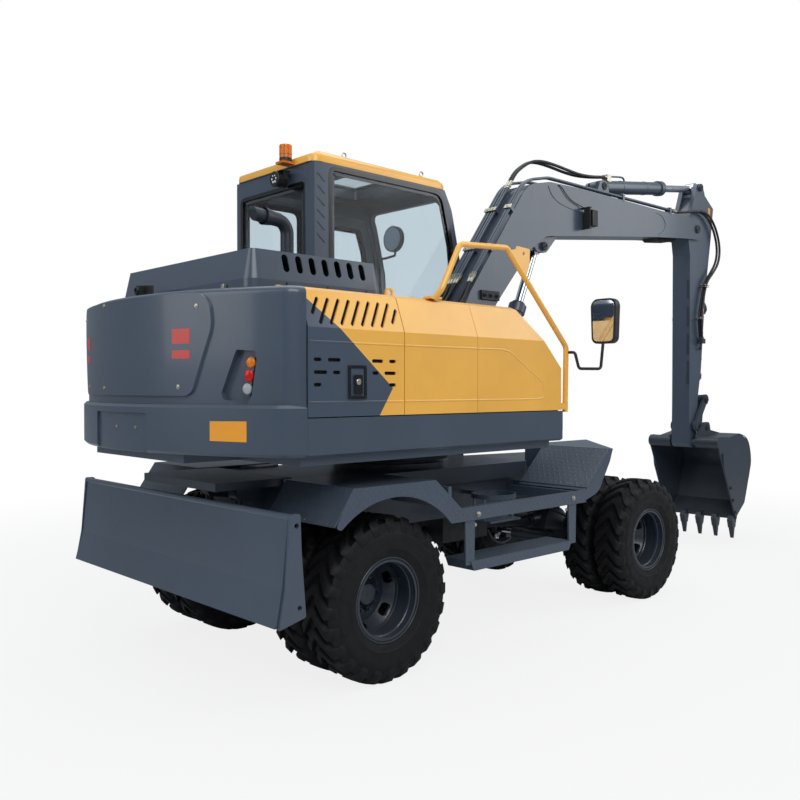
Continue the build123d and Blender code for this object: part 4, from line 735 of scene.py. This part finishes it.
clamps = Shape()
for share in (0.37, 0.74):
    for y in (-96, 42, 96):
        corners = [on_back(share + step, y, rise)
                   for step, rise in ((-0.016, 48), (0.016, 48), (0.016, 54), (-0.016, 54))]
        clamps.loft([[c + Vector((0, dy, 0)) for c in corners] for dy in (-30, 30)])
        clamps.bolt(on_back(share, y, 54), OFF_BACK, 7)
for x in (2626, 3415):
    for y in (-96, 96):
        clamps.block(x - 17, x + 17, y - 30, y + 30, 3175, 3180)
        clamps.bolt((x, y, 3180), (0, 0, 1), 7)
clamps.put("pipe_clamp_tops", "boom", "zinc", 30)

for count, y in enumerate(LOOP_PIPES):
    route = [(x, y + dy + apart * count, z + rise * count) for x, dy, z, apart, rise in LOOP_ROUTE]
    hose(f"loop_hose_{count + 1}", [on_back(1.018, y), on_back(1.1, y, 38)] + route, 12,
         ["boom", "arm_cylinder_barrel"], (2250, 0, 3280))
for side, hand in HANDS.items():
    for count in (0, 1):
        route = [(x + dx * count, side * (y + dy * count), z + dz * count)
                 for x, y, z, dx, dy, dz in ARM_ROUTE]
        hose(f"arm_hose_{hand}_{count + 1}", route, 11, ["boom", "arm"],
             (3760, side * 120, 3190))
for count, y in enumerate(PIPES):
    low = on_back(0.1, y)
    route = [(x - FOOT_SLACK * (count % 3), y * share, z) for x, share, z in FOOT_ROUTE]
    hose(f"foot_hose_{count + 1}", [low - BACK * 42, low - BACK * 95] + route, 12, ["upper", "boom"],
         (360, 0, 1830))
hose("lamp_cable", [(1690, -124, 3104), (1722, -128, 3098), (1775, -129, 3050), (1842, -129, 3012),
                    (1925, -130, 2990), (1990, -134, 2980), (2034, -146, 2958)], 4, ["boom"])

ports = Shape()
for y in (-24, 0):
    ports.turned((2476, y, 3320), (1, 0, 0.15), [(0, 13), (34, 13)], 14)
    ports.turned((2508, y, 3325), (1, 0, 0.15), [(0, 17), (20, 17)], 6)
ports.block(2500, 2560, -40, 18, 3286, 3345)
ports.put("arm_cylinder_port", "arm_cylinder_barrel", "zinc", 30, 2.0)
feed = Shape()
feed.tube(smooth_line([(2555, -24, 3334), (2620, -24, 3345), (2700, -24, 3356), (2765, -18, 3362),
                       (2800, -10, 3353), (2812, -6, 3339)], 5), 8)
feed.put("arm_cylinder_feed", "arm_cylinder_barrel", "slate")


# Tail: stripes, blank label, cover screws, lamps

COVER_R = 1860.5
LABEL_R = 1875.2
STRIPES = {"upper": [(565, 1730), (455, 1730), (455, 1800), (565, 1800)],
           "lower": [(565, 1660), (455, 1660), (455, 1700), (565, 1700)]}


def on_drum(radius, y, z):
    return (-math.sqrt(radius ** 2 - y ** 2), y, z)


def drum_patch(name, corners, radius, thick, look):
    """Thin plate that follows the round tail; corners are (y, z) in order."""
    patch = Shape()
    (y0, z0), (y1, z1), (y2, z2), (y3, z3) = corners
    rings = []
    for k in range(9):
        t = k / 8
        low = (y0 + (y1 - y0) * t, z0 + (z1 - z0) * t)
        high = (y3 + (y2 - y3) * t, z3 + (z2 - z3) * t)
        rings.append([on_drum(radius + out, *p)
                      for p, out in ((low, 0), (high, 0), (high, thick), (low, thick))])
    patch.loft(rings)
    patch.put(name, "upper", look)


for side, hand in HANDS.items():
    for place, corners in STRIPES.items():
        drum_patch(f"tail_stripe_{place}_{hand}", [(side * y, z) for y, z in corners], COVER_R, 1.6, "red")
drum_patch("tail_label", [(-691, 1281), (-868, 1279), (-868, 1373), (-691, 1371)], LABEL_R, 1.4,
           "label_orange")
screws = Shape()
for y, z in ((175, 1951), (-602, 1902), (602, 1902), (-492, 1528), (492, 1528), (182, 1523)):
    spot = on_drum(1861, y, z)
    screws.turned(spot, (spot[0], spot[1], 0), [(-1, 11), (2, 11), (3, 9)], 20)
    screws.bolt(on_drum(1863, y, z), (spot[0], spot[1], 0), 5)
for y in (7, -181):
    spot = on_drum(1863.5, y, 1330)
    screws.bolt(spot, (spot[0], spot[1], 0), 6)
screws.put("tail_cover_screws", "upper", "zinc", 30)

LAMP_TURN = 27
LENSES = [("amber", 1612, 1664), ("red_lens", 1548, 1610), ("clear_lens", 1492, 1546)]
for side, hand in HANDS.items():
    for look, low, high in LENSES:
        mid = (low + high) / 2
        centre = Vector((-1838, side * (26 - (1665 - mid) * 0.16), mid))
        lens = Shape()
        lens.turned(centre, (-1, 0, 0), [(-3, 17), (4, 17), (8, 15), (10, 9), (10.5, 2)])
        stretch = Matrix.Diagonal((1, 1.35, (high - low) / 36, 1))
        lens.mesh.transform(Matrix.Translation(centre) @ stretch @ Matrix.Translation(-centre))
        lens.mesh.transform(Matrix.Rotation(math.radians(-LAMP_TURN * side), 4, "Z"))
        lens.put(f"tail_lens_{look.split('_')[0]}_{hand}", "upper", look, 50)


# Right side: stamped lines, painted shade in the gap under the panels, latch, a sheet of painted shade behind
# the vents

STAMP_Y = -1046
STAMP_LOW = 1458
stamped = Shape()
for line in (((-853, 1735), (-311, 1737)), ((-853, STAMP_LOW), (-311, STAMP_LOW)),
             rounded([(-305, 1737), (-92, 1738, 90), (-30, 1726, 60), (276, 1552, 60), (290, 1466, 30),
                      (200, STAMP_LOW, 60), (-305, STAMP_LOW)], 5)):
    stamped.tube([(x, STAMP_Y, z) for x, z in line], 7, 8)
stamped.put("side_stamping", "upper", "yellow", 60)
stamped = Shape()
for level in (STAMP_LOW, 1735):
    stamped.tube([(x, STAMP_Y, level) for x in (-1450, -862)], 7, 8)
stamped.put("door_stamping", "door_right", "door", 60)
# Near-black strip in the gap under the panels: painted shade.
gap_shade = Shape()
gap_shade.block(-840, 440, -1034, -1004, 1378, 1394)
gap_shade.put("panel_gap_shade", "upper", "painted_shade", 30)

latch = Shape()
latch.ring("y", oblong(-1223, -1110, 1471, 1630, 5), oblong(-1208, -1125, 1486, 1615, 5), -1057, -1053)
latch.slab("y", oblong(-1193, -1140, 1492, 1586, 8), -1062, -1056)
for x in (-1215, -1118):
    for z in (1479, 1550, 1622):
        latch.turned((x, -1057, z), (0, -1, 0), [(0, 4), (1.5, 4), (2.5, 2)], 10)
latch.put("side_latch", "door_right", "black_gloss", 30, 1.0)
lock = Shape()
lock.turned((-1167, -1061, 1552), (0, -1, 0), [(0, 14), (5, 14), (7, 11), (7, 3), (5, 3)])
lock.put("side_lock", "door_right", "zinc", 30)
# Near-black sheets behind the vent slots: painted shade seen through them.
behind = Shape()
behind.block(-1430, -880, -1036, -1030, 1500, 1790)
behind.loft([[(x, -1022, 1806), (x, -968, 1958), (x, -962, 1958), (x, -1016, 1806)] for x in (-1430, -880)])
behind.put("vent_shade_sheet", "door_right", "painted_shade")


# Hood: screws, hinges, catch, rear camera, exhaust

hood_bits = Shape()
for x in (-1304, -1048, -786):
    for side in HANDS:
        hood_bits.bolt((x, side * 680, 2036), (0, side, 0), 5)
hood_bits.put("hood_screws", "hood", "black_plastic", 30)
hinges = Shape()
for x in (-1151, -776):
    hinges.block(x - 62, x + 62, -722, -684, 1991, 1996)
    hinges.loft([[(x + dx, -690, 1996), (x + dx, -716, 1996), (x + dx, -704, 2006)] for dx in (-54, 54)])
    for dx in (-42, 42):
        hinges.bolt((x + dx, -714, 1996), (0, 0, 1), 5)
hinges.put("hood_side_hinges", "upper", "zinc", 30, 0.8)
catch = Shape()
catch.block(-1568, -1528, -505, -435, 1986, 1996)
catch.bar((-1548, -490, 2004), (-1548, -450, 2004), 9)
catch.block(-1542, -1526, -482, -458, 1996, 2034)
catch.put("hood_rear_catch", "upper", "zinc", 30, 1.5)
eye = Shape()
eye.slab("x", [(250, 1984), (250, 2085), (120, 2074), (120, 1984)], -1606, -1600)
eye.block(-1606, -1560, 120, 250, 1984, 1989)
eye.block(-1640, -1600, 214, 250, 2020, 2080)
eye.turned((-1638, 232, 2050), (-1, 0, -0.1), [(0, 20), (12, 20), (12, 13), (4, 12)], 20)
eye.put("rear_camera", "upper", "black_plastic", 30, 2)
flare = Shape()
flare.turned((-1050, -330, 2186), (0, 0, 1), [(0, 62), (8, 62), (12, 44), (34, 42), (36, 37)], 28)
flare.turned((-1110, -334.4, 2426), (-0.997, -0.08, 0.06),
             [(0, 37.5), (40, 38), (70, 43), (104, 48), (104, 46)], 28, False)
flare.put("exhaust_flange", "upper", "exhaust", 40)


# Cab: window rubbers, louvres, eyes, beacon, lamp

CAB_REAR, CAB_RIGHT, CAB_LEFT, CAB_MID = -485, 160, 1050, 605
RIGHT_WINDOW = [(-350, 1700, 40), (790, 1700, 60), (800, 2300), (770, 2560), (670, 2925, 110),
                (-350, 2925, 40)]
REAR_WINDOW = [(270, 2120, 30), (985, 2120, 30), (985, 2830, 30), (270, 2830, 30)]
QUARTER_WINDOW = [(-420, 1950, 50), (60, 1950, 50), (60, 2850, 90), (-420, 2850, 50)]
DOOR_WINDOW = [(205, 1560, 40), (725, 1560, 40), (725, 2290), (682, 2600), (620, 2775, 40), (205, 2775, 40)]
# Columns: name, axis, outline, outer and inner level of the rubber, body, reach past the outline
RUBBERS = [("right", "y", RIGHT_WINDOW, CAB_RIGHT - 3, CAB_RIGHT + 12, "upper", 20),
           ("rear", "x", REAR_WINDOW, CAB_REAR - 3, CAB_REAR + 14, "upper", 16),
           ("quarter", "y", QUARTER_WINDOW, CAB_LEFT + 3, CAB_LEFT - 14, "upper", 16),
           ("door", "y", DOOR_WINDOW, CAB_LEFT + 3, CAB_LEFT - 14, "cab_door", 16)]
for name, axis, points, start, stop, body, reach in RUBBERS:
    line = rounded(points)
    rubber = Shape()
    rubber.ring(axis, grown(line, reach), grown(line, -9), start, stop)
    rubber.ring(axis, grown(line, -8), grown(line, -34), stop - (stop - start) * 0.16, stop)
    rubber.put(f"window_rubber_{name}", body, "black_gloss", 30, 1.5)

louvres = Shape()
for z in range(2886, 2424, -77):
    a, b = Vector((-466, CAB_RIGHT, z)), Vector((-400, CAB_RIGHT, z - 52))
    along = (b - a).normalized()
    across = Vector((along.z, 0, -along.x))
    rings = []
    for share, wide, proud in ((0, 1.5, 0.3), (0.12, 8, 3.5), (0.88, 8, 3.5), (1, 1.5, 0.3)):
        mid = a.lerp(b, share)
        rings.append([mid - across * wide, mid - across * wide * 0.4 + Vector((0, -proud, 0)),
                      mid + across * wide * 0.6 + Vector((0, -proud * 0.7, 0)), mid + across * wide])
    louvres.loft(rings)
louvres.put("pillar_louvres", "upper", "slate", 25)

eyes = Shape()
for x, y in ((-128, 300), (600, 300), (-128, 910), (600, 910)):
    eyes.turned((x, y, 3036), (0, 0, 1), [(0, 16), (8, 16), (10, 9), (26, 9)], 16)
    circle = around(20, 17)
    eyes.tube([(x + dx, y, 3078 + dz) for dx, dz in circle + circle[:1]], 5, 8)
eyes.put("roof_eyes", "upper", "zinc", 40)
hatch = Shape()
hatch.ring("z", oblong(-66, 446, 354, 856, 30), oblong(-46, 426, 374, 836, 20), 3026, 3046)
hatch.put("hatch_rubber", "upper", "black_gloss", 30, 2)

BEACON_X, BEACON_Y = -540, 391
socket = Shape()
socket.turned((BEACON_X, BEACON_Y, 2975), (0, 0, 1), [(0, 41), (26, 41), (30, 38), (44, 38), (48, 41.5)], 28)
socket.put("beacon_base", "upper", "black_plastic", 30)
ribs = Shape()
for z in (3030, 3044, 3058, 3070):
    ribs.turned((BEACON_X, BEACON_Y, z), (0, 0, 1), [(0, 39), (2, 41.2), (5, 41.2), (7, 39)], 28)
ribs.put("beacon_ribs", "upper", "amber", 50)

LAMP_Y, LAMP_Z = 440, 2870
LAMP_WAY = (-1, 0, -0.05)
lamp = Shape()
lamp.turned((-584, LAMP_Y, LAMP_Z), LAMP_WAY, [(0, 50), (8, 50), (14, 46), (14, 42)], 32)
for k in range(5):
    lamp.turned((-520 - 9 * k, LAMP_Y, LAMP_Z), (1, 0, 0), [(0, 49), (4, 49)], 32)
lamp.slab("x", [(382, 2918), (498, 2918), (498, 2924), (382, 2924)], -575, -505)
for side, y in ((-1, 386), (1, 490)):
    lamp.slab("y", [(-556, 2860), (-528, 2860), (-522, 2924), (-562, 2924)], y, y + 4)
    lamp.bolt((-542, y + 2 + 2 * side, LAMP_Z), (0, side, 0), 7)
lamp.put("work_lamp_body", "upper", "black_plastic", 30, 0.8)
lens = Shape()
lens.turned((-590, LAMP_Y, LAMP_Z), LAMP_WAY, [(0, 43), (4, 43), (6, 38), (7, 8)], 32)
lens.put("work_lamp_lens", "upper", "clear_lens", 50)
leds = Shape()
for dy, dz in around(6, 22):
    leds.turned((-592, LAMP_Y + dy, LAMP_Z + dz), LAMP_WAY, [(0, 9), (5, 8), (8, 4)], 12)
leds.put("work_lamp_leds", "upper", "white", 40)


# Inside the cab: seat, curtain, levers

def pillow(name, low, high, crown, lean, seams):
    """Crowned cushion in a box, sides drawn in between its corners, with sewn channels across."""
    cushion = Shape()
    bmesh.ops.create_cube(cushion.mesh, size=2)
    bmesh.ops.subdivide_edges(cushion.mesh, edges=cushion.mesh.edges, cuts=23, use_grid_fill=True)
    mid = [(a + b) / 2 for a, b in zip(low, high)]
    half = [(b - a) / 2 for a, b in zip(low, high)]
    power = 5.0
    for v in cushion.mesh.verts:
        u = Vector(v.co)
        u /= (abs(u.x) ** power + abs(u.y) ** power + abs(u.z) ** power) ** (1 / power)
        pull = 1 - 0.045 * math.cos(u.z * math.pi / 2)
        shape = Vector((u.x * pull, u.y * pull, u.z * (1 - crown * (u.x ** 2 + u.y ** 2) / 2)))
        for axis, place in seams:
            gap = (shape[axis] - place) / 0.035
            if abs(gap) < 3:
                dip = 0.085 * math.exp(-gap * gap)
                shape = Vector([c * (1 - dip) if k != axis else c for k, c in enumerate(shape)])
        spot = [mid[k] + shape[k] * half[k] for k in range(3)]
        spot[0] += lean * (spot[2] - low[2])
        v.co = spot
    cushion.put(name, "upper", "fabric", 60)


pillow("seat_cushion", (-235, CAB_MID - 238, 1560), (278, CAB_MID + 238, 1700), 0.22, 0.0,
       ((0, -0.45), (0, 0.42), (1, -0.62), (1, 0.62)))
pillow("seat_back", (-236, CAB_MID - 228, 1690), (-128, CAB_MID + 228, 2278), 0.1, -0.105,
       ((2, -0.4), (2, 0.25), (1, -0.62), (1, 0.62)))
# Columns: rear, front, half width, corner radius, low, high; a foot, the bellows and the pan
PLATES = [(-180, 260, 200, 40, 1300, 1330)]
PLATES += [(40 - reach, 40 + reach, reach, 30, 1330 + 42 * k, 1372 + 42 * k)
           for k, reach in enumerate((186, 180, 186, 180, 186))]
PLATES += [(-225, 262, 225, 40, 1540, 1566)]
seat_frame = Shape()
for rear, front, half, radius, low, high in PLATES:
    seat_frame.slab("z", oblong(rear, front, CAB_MID - half, CAB_MID + half, radius), low, high)
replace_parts(seat_frame.put("seat_frame", "upper", "black_plastic", 30, 2), "seat")

curtain = Shape()
rings = []
for k in range(49):
    share = k / 48
    fold = 9 * math.sin(share * math.pi * 11)
    rings.append([(-372 + 88 * share, CAB_RIGHT + 66 + fold * (0.55 + 0.45 * (2900 - z) / 600), z)
                  for z in range(2900, 2260, -40)])
curtain.loft(rings, False, False)
drape = curtain.put("cab_curtain", "upper", "curtain", 60)

gear = Shape()
for y in (345, 865):
    gear.tube(smooth_line([(250, y, 1780), (262, y, 1850), (255, y, 1900)], 5), 9)
    gear.turned((255, y, 1895), (-0.1, 0, 1), [(0, 14), (10, 20), (60, 22), (88, 19), (100, 10)], 20)
gear.slab("y", rounded([(640, 1880, 15), (700, 1890, 15), (720, 2090, 15), (668, 2080, 15)]), 235, 420)
gear.block(-205, 280, 838, 900, 1740, 1780)
gear.put("cab_gear", "upper", "black_plastic", 30, 3)


# Boom: weld seams, pin caps, lamp, tip bumper, service block

SEAMS = [[(1562, 3078), (1578, 3050), (1601, 3022), (1640, 2995), (1690, 2972), (1774, 2955), (1900, 2941),
          (2010, 2938)],
         [(3164, 3094), (3230, 3088), (3280, 3066), (3312, 3030), (3318, 2995), (3292, 2955), (3250, 2930),
          (3200, 2899)]]
seams = Shape()
for side in HANDS:
    for line in SEAMS:
        seams.tube(smooth_line([(x, side * 120.5, z) for x, z in line], 4), 3.2, 8)
seams.put("boom_seams", "boom", "slate", 60)

# Columns: name, body, x, z, outer y, radius
PINS = [("boom_foot", "boom", 400, 1640, 120, 58), ("boom_ear", "boom", 1550, 2617, 96, 30),
        ("arm_pivot", "boom", 3916, 3047, 130, 36), ("arm_base", "boom", 2404, 3222, 72, 30),
        ("arm_top", "arm", 4020, 3465, 104, 32), ("bucket_base", "arm", 4200, 2300, 60, 26),
        ("rocker_pin", "rocker", 4110, 1409, 128, 27),
        ("bucket_pin", "arm", 3919, 1001, 150, 26), ("link_pin", "bucket", 4078, 1137, 150, 26)]
for name, body, x, z, level, radius in PINS:
    caps = Shape()
    for side in HANDS:
        way = (0, side, 0)
        rim = radius * 1.1
        caps.turned((x, side * (level - 1), z), way, [(0, rim), (6, rim), (7, radius), (9, radius)], 28)
        for dx, dz in around(2, radius * 0.6, 0.6 / math.pi):
            caps.bolt((x + dx, side * (level + 7), z + dz), way, radius * 0.2)
        caps.turned((x, side * (level + 7), z), way, [(0, 5), (5, 4), (8, 3)], 10)
    caps.put(f"pin_caps_{name}", body, "cast", 30)

lamp_rim = Shape()
lamp_rim.ring("x", oblong(-210, -134, 2824, 2950, 8), oblong(-202, -142, 2832, 2942, 8), 2094, 2102)
for z in range(2834, 2944, 12):
    lamp_rim.block(2026, 2094, -213, -211, z, z + 4)
lamp_rim.put("boom_lamp_rim", "boom", "black_plastic", 30, 1)
lens = Shape()
lens.slab("x", oblong(-203, -141, 2831, 2943, 8), 2095, 2099)
lens.put("boom_lamp_lens", "boom", "clear_lens", 30)
bumper = Shape()
bumper.slab("y", rounded([(3214, 2884), (3268, 2862, 10), (3560, 2893, 10), (3640, 2922)]), -62, 62)
bumper.put("boom_bumper", "boom", "rubber", 30, 3)
block = Shape()
block.block(770, 962, -140, -118, 2150, 2216)
for x in (800, 866, 932):
    block.turned((x, -140, 2184), (0, -1, 0), [(0, 17), (6, 17), (6, 10), (18, 10)], 16)
block.put("boom_service_block", "boom", "black_plastic", 30, 2)


# Arm: stripe plate, hose ties, valves, wear strips, blank label

ARM_SIDE = 90
REAR, FRONT, FOOT, TOP = 4062, 4118, 2230, 2500
board = Shape()
board.slab("y", [(REAR, FOOT), (FRONT - 6, FOOT), (FRONT, TOP), (REAR + 8, TOP)], -ARM_SIDE - 1.4, -ARM_SIDE)
board.put("stripe_plate", "arm", "white")
bands = Shape()
for k in range(4):
    low = FOOT + 22 + 66 * k
    corners = [(REAR + 1 + 0.03 * k, low), (FRONT - 4, low - 16), (FRONT - 3, low + 16), (REAR + 2, low + 34)]
    bands.slab("y", corners, -ARM_SIDE - 2.2, -ARM_SIDE - 1.3)
bands.put("stripe_bands", "arm", "red")
ties = Shape()
for x0, x1, z0, z1 in ((4020, 4110, 2502, 2522), (3936, 4010, 2186, 2202)):
    for side in HANDS:
        ties.block(x0, x1, side * ARM_SIDE, side * 150, z0, z0 + 5)
        ties.block(x0, x1, side * ARM_SIDE, side * 150, z1 - 5, z1)
        for y in (102, 144):
            ties.bolt((x0 + 10, side * y, z1), (0, 0, 1), 6)
ties.put("arm_hose_ties", "arm", "zinc", 30, 0.8)
valves = Shape()
for side in HANDS:
    valves.block(3976, 4034, side * ARM_SIDE, side * 152, 1952, 1998)
    for y in (113, 133):
        valves.turned((4004, side * y, 1996), (0, 0, 1), [(0, 16), (20, 16)], 6)
    valves.tube(smooth_line([(4006, side * 118, 1960), (4010, side * 116, 1900), (4060, side * 84, 1930),
                             (4120, side * 60, 2080), (4172, side * 46, 2230)], 6), 8)
valves.put("arm_valves", "arm", "slate_dark", 30, 1)
strips = Shape()
for z0, z1 in ((1560, 1780), (1840, 2040), (2110, 2300), (2380, 2560)):
    strips.block(3834, 3838.5, -88, -60, z0, z1)
strips.put("arm_wear_strips", "arm", "slate_dark", 30)
label = Shape()
label.slab("y", [(4188, 3170), (4228, 3160), (4234, 3290), (4194, 3296)], -ARM_SIDE - 1.2, -ARM_SIDE)
label.put("arm_label", "arm", "label_orange")


# Cylinders: glands at the mouths of the barrels and bands round them

# Columns: barrel node, base, pin, y, barrel radius, rod radius, barrel end
BLADE_BARREL = ("blade_cylinder_barrels", (-1250, 950), (-1223, 517))
CYLINDERS = [("boom_cylinder_barrel", (1007, 1400), (1550, 2617), 0, 58, 32, 824),
             ("arm_cylinder_barrel", (2404, 3222), (4020, 3465), 0, 58, 32, 1040),
             ("bucket_cylinder_barrel", (4200, 2300), (4110, 1409), 0, 46, 27, 690),
             (*BLADE_BARREL, 150, 38, 22, 345), (*BLADE_BARREL, -150, 38, 22, 345)]
for count, (body, base, pin, y, barrel, rod, reach) in enumerate(CYLINDERS):
    start, end = Vector((base[0], y, base[1])), Vector((pin[0], y, pin[1]))
    way = (end - start).normalized()
    side = way.orthogonal().normalized()
    other = way.cross(side)
    mouth = start + way * reach
    gland = Shape()
    gland.turned(mouth - way * 2, way, [(0, barrel * 0.98), (14, barrel * 0.98), (16, barrel * 0.86),
                                        (24, barrel * 0.84), (24, rod + 7), (30, rod + 6), (31, rod + 1)],
                 32, False)
    for a, b in around(6, barrel * 0.72):
        gland.bolt(mouth + way * 14 + side * a + other * b, way, 5)
    gland.put(f"cylinder_gland_{count + 1}", body, "slate_dark", 30)
    band = Shape()
    for share in (0.32, 0.7):
        band.turned(start + way * reach * share, way,
                    [(0, barrel), (2, barrel + 3), (18, barrel + 3), (20, barrel)], 32, False)
    band.put(f"cylinder_band_{count + 1}", body, "slate", 30)


# Bucket: tooth pins, side bolts, weld beads

teeth = Shape()
for y in range(-330, 331, 165):
    for side in HANDS:
        teeth.bolt((4248, y + side * 24, 205), (0, side, 0), 7)
teeth.put("tooth_pins", "bucket", "zinc", 30)
studs = Shape()
for side in HANDS:
    for x, z in ((4215, 318), (4168, 440), (4120, 562)):
        studs.bolt((x, side * 371, z), (0, side, 0), 13)
studs.put("cutter_bolts", "bucket", "cast", 30)
BUCKET_SHELL = [(4324, 1074), (4440, 1045), (4520, 985), (4564, 880), (4571, 790), (4541, 670), (4490, 545),
                (4430, 400), (4330, 320)]
beads = Shape()
for side in HANDS:
    beads.tube(smooth_line([(x, side * 358, z) for x, z in BUCKET_SHELL], 5), 4.5, 8)
beads.put("bucket_beads", "bucket", "slate_dark", 60)


# Undercarriage: deck bolts, swing race, brake lines

screws = Shape()
for side in HANDS:
    for y in (-940, -760, -520):
        screws.bolt((-1252, side * y, 874), (-0.82, 0, 0.57), 8)
    for x, z in ((-242, 826), (650, 834)):
        screws.bolt((x, side * 1000, z), (0, side, 0), 12)
    for x in (-245, 605):
        for z in (560, 764):
            screws.bolt((x, side * 978, z), (0, side, 0), 8)
screws.put("deck_bolts", "undercarriage", "zinc", 30)
race = Shape()
for dx, dy in around(36, 368, 0.5):
    race.bolt((dx, dy, 1094), (0, 0, -1), 9)
race.turned((0, 0, 1070), (0, 0, 1), [(0, 384), (6, 391), (18, 391), (24, 384)], 96, False)
race.put("race_bolts", "undercarriage", "cast", 30)
# Each line's radius and the points on its left side
BRAKE_LINES = [(9, [(-1120, 330, 760), (-1010, 350, 720), (-930, 350, 640), (-870, 330, 560)]),
               (8, [(960, 180, 720), (1100, 210, 700), (1350, 230, 640), (1560, 260, 560), (1640, 300, 500)]),
               (9, [(-1118, 120, 930), (-1180, 130, 968), (-1230, 150, 980)])]
lines = Shape()
for side in HANDS:
    for radius, points in BRAKE_LINES:
        lines.tube(smooth_line([(x, side * y, z) for x, y, z in points], 6), radius)
lines.put("brake_lines", "undercarriage", "hose", 60)


# Blade: mesh in place of the solid, with a flat mouldboard

BLADE_HALF = 1079
PLATE = 20
EYE_R = 12
EYE_POINTS = 28
END_PLATE = rounded([(-1574, 966, 12), (-1520, 966, 15), (-1514, 800), (-1489, 500, 12), (-1633, 466),
                     (-1601, 638)])
BRACKET = rounded([(-1560, 560), (-1490, 570, 20), (-1455, 620, 30), (-1455, 850, 30), (-1490, 895, 20),
                   (-1560, 900)])
inner_y = BLADE_HALF - PLATE
blade = Shape()
blade.slab("y", [(-1571, 955), (-1604, 638), (-1637, 472), (-1623, 472), (-1590, 638), (-1557, 955)],
           -inner_y, inner_y)
blade.bar((-1560, -inner_y, 950), (-1560, inner_y, 950), 16, 32)
blade.slab("y", [(-1572, 840), (-1558, 840), (-1558, 600), (-1590, 600)], -700, 700)
loops = [END_PLATE] + [[(x + dx, z + dz) for dx, dz in around(EYE_POINTS, EYE_R)]
                       for x, z in ((-1541, 914), (-1524, 548))]
for side in HANDS:
    faces = []
    for level in (BLADE_HALF, inner_y):
        rings = [[blade.mesh.verts.new((x, side * level, z)) for x, z in line] for line in loops]
        rims = [blade.mesh.edges.new((a, b)) for ring in rings for a, b in zip(ring, ring[1:] + ring[:1])]
        bmesh.ops.triangle_fill(blade.mesh, edges=rims, use_beauty=True)
        faces.append(rings)
    for outer, inner in zip(*faces):
        for a, b, c, d in zip(outer, outer[1:] + outer[:1], inner[1:] + inner[:1], inner):
            blade.mesh.faces.new((a, b, c, d))
    middle = side * 275
    for cheek in (middle - 38, middle + 22):
        blade.slab("y", BRACKET, cheek, cheek + 16)
    for z in (620, 850):
        blade.bar((-1500, middle - 40, z), (-1500, middle + 40, z), 22, 28)
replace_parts(blade.put("blade_mouldboard", "blade", "slate", 25, 1.5), "blade")
weld = Shape()
for side in HANDS:
    weld.tube([(-1576, side * 1057, 940), (-1607, side * 1057, 638), (-1638, side * 1057, 480)], 4, 8)
weld.put("blade_welds", "blade", "slate", 60)
cutter = Shape()
cutter.slab("y", [(-1603.5, 641), (-1647, 471), (-1630, 471), (-1600, 641)], 1 - inner_y, inner_y - 1)
cutter.put("blade_cutting_edge", "blade", "slate", 25, 1.5)


# Mirrors' glass

glass = Shape()
glass.slab("x", rounded([(-1250, 1808, 34), (-1110, 1808, 34), (-1101, 2058, 42), (-1259, 2058, 42)]),
           697.5, 700.2)
glass.put("mirror_glass_right", "upper", "mirror", 30, 0.8)
glass = Shape()
glass.turned((1110.2, 1162, 2780), (-1, 0, 0), [(0, 98), (2, 98), (5, 60), (6.5, 25), (7, 0.5)], 48)
glass.put("mirror_glass_left", "upper", "mirror", 60)


# Cab's roof with its drawn edges

ROOF_REAR, ROOF_FRONT, ROOF_LOW = -497, 735, 2955
ROOF_OUTLINE = [(ROOF_REAR, 160, 75), (ROOF_FRONT, 160, 95), (ROOF_FRONT, 1050, 95), (ROOF_REAR, 1050, 75)]
# Columns: level, how far the edge is drawn in there
ROOF_RINGS = [(ROOF_LOW, 3), (2959, 0), (2984, 0), (3002, 4), (3018, 14), (3031, 32), (3040, 58),
              (3044.5, 96)]


def roof_level(x, level):
    """Level held under the slopes at the roof's front and rear."""
    front = 2985 + (ROOF_FRONT - x) * 0.4138
    rear = 3000 + (x - ROOF_REAR) * 0.464
    return max(ROOF_LOW, min(level, front - (3045 - level) * 0.12, rear))


base, opening = rounded(ROOF_OUTLINE, 8), oblong(-60, 440, 360, 850, 24, 8)
roof = Shape()
rings = [[(x, y, roof_level(x, level)) for x, y in grown(base, -inset)] for level, inset in ROOF_RINGS]
rings += [[(x, y, level) for x, y in opening] for level in (3044.8, ROOF_LOW)]
roof.loft(rings + rings[:1], True, False)
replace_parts(roof.put("roof_panel", "upper", "roof", 35), "cab_roof")


# Floor: keeps the shadow near the machine and turns to white further out

SPAN = 60.0
FADE = {"From_Min": 2.6, "From_Max": 8.5, "To_Min": 0.84, "To_Max": 1.0}
floor_mesh = bpy.data.meshes.new("floor")
floor_mesh.from_pydata([(-SPAN, -SPAN, 0), (SPAN, -SPAN, 0), (SPAN, SPAN, 0), (-SPAN, SPAN, 0)], [],
                       [(0, 1, 2, 3)])
floor = bpy.data.objects.new("floor", floor_mesh)
scene.collection.objects.link(floor)
floor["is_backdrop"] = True
m = Maker("floor")
m.set(Base_Color=(0.55, 0.55, 0.55, 1), Roughness=0.9)
glow = m.node("Emission", Strength=1.0, Color=WHITE)
reach = m.node("VectorMath", operation="LENGTH")
m.link(m.node("NewGeometry").outputs["Position"], reach.inputs[0])
far = m.node("MapRange", interpolation_type="SMOOTHSTEP", **FADE)
m.link(reach.outputs["Value"], far.inputs["Value"])
fade = m.times(m.node("LightPath").outputs["Is Camera Ray"], far.outputs[0])
end = m.tree.nodes["Material Output"].inputs["Surface"]
m.link(m.mix_shaders(fade, m.shader.outputs[0], glow.outputs[0]), end)
floor_mesh.materials.append(m.material)

corners = [list(map(list, CAD_BOX)), list(map(list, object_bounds()))]
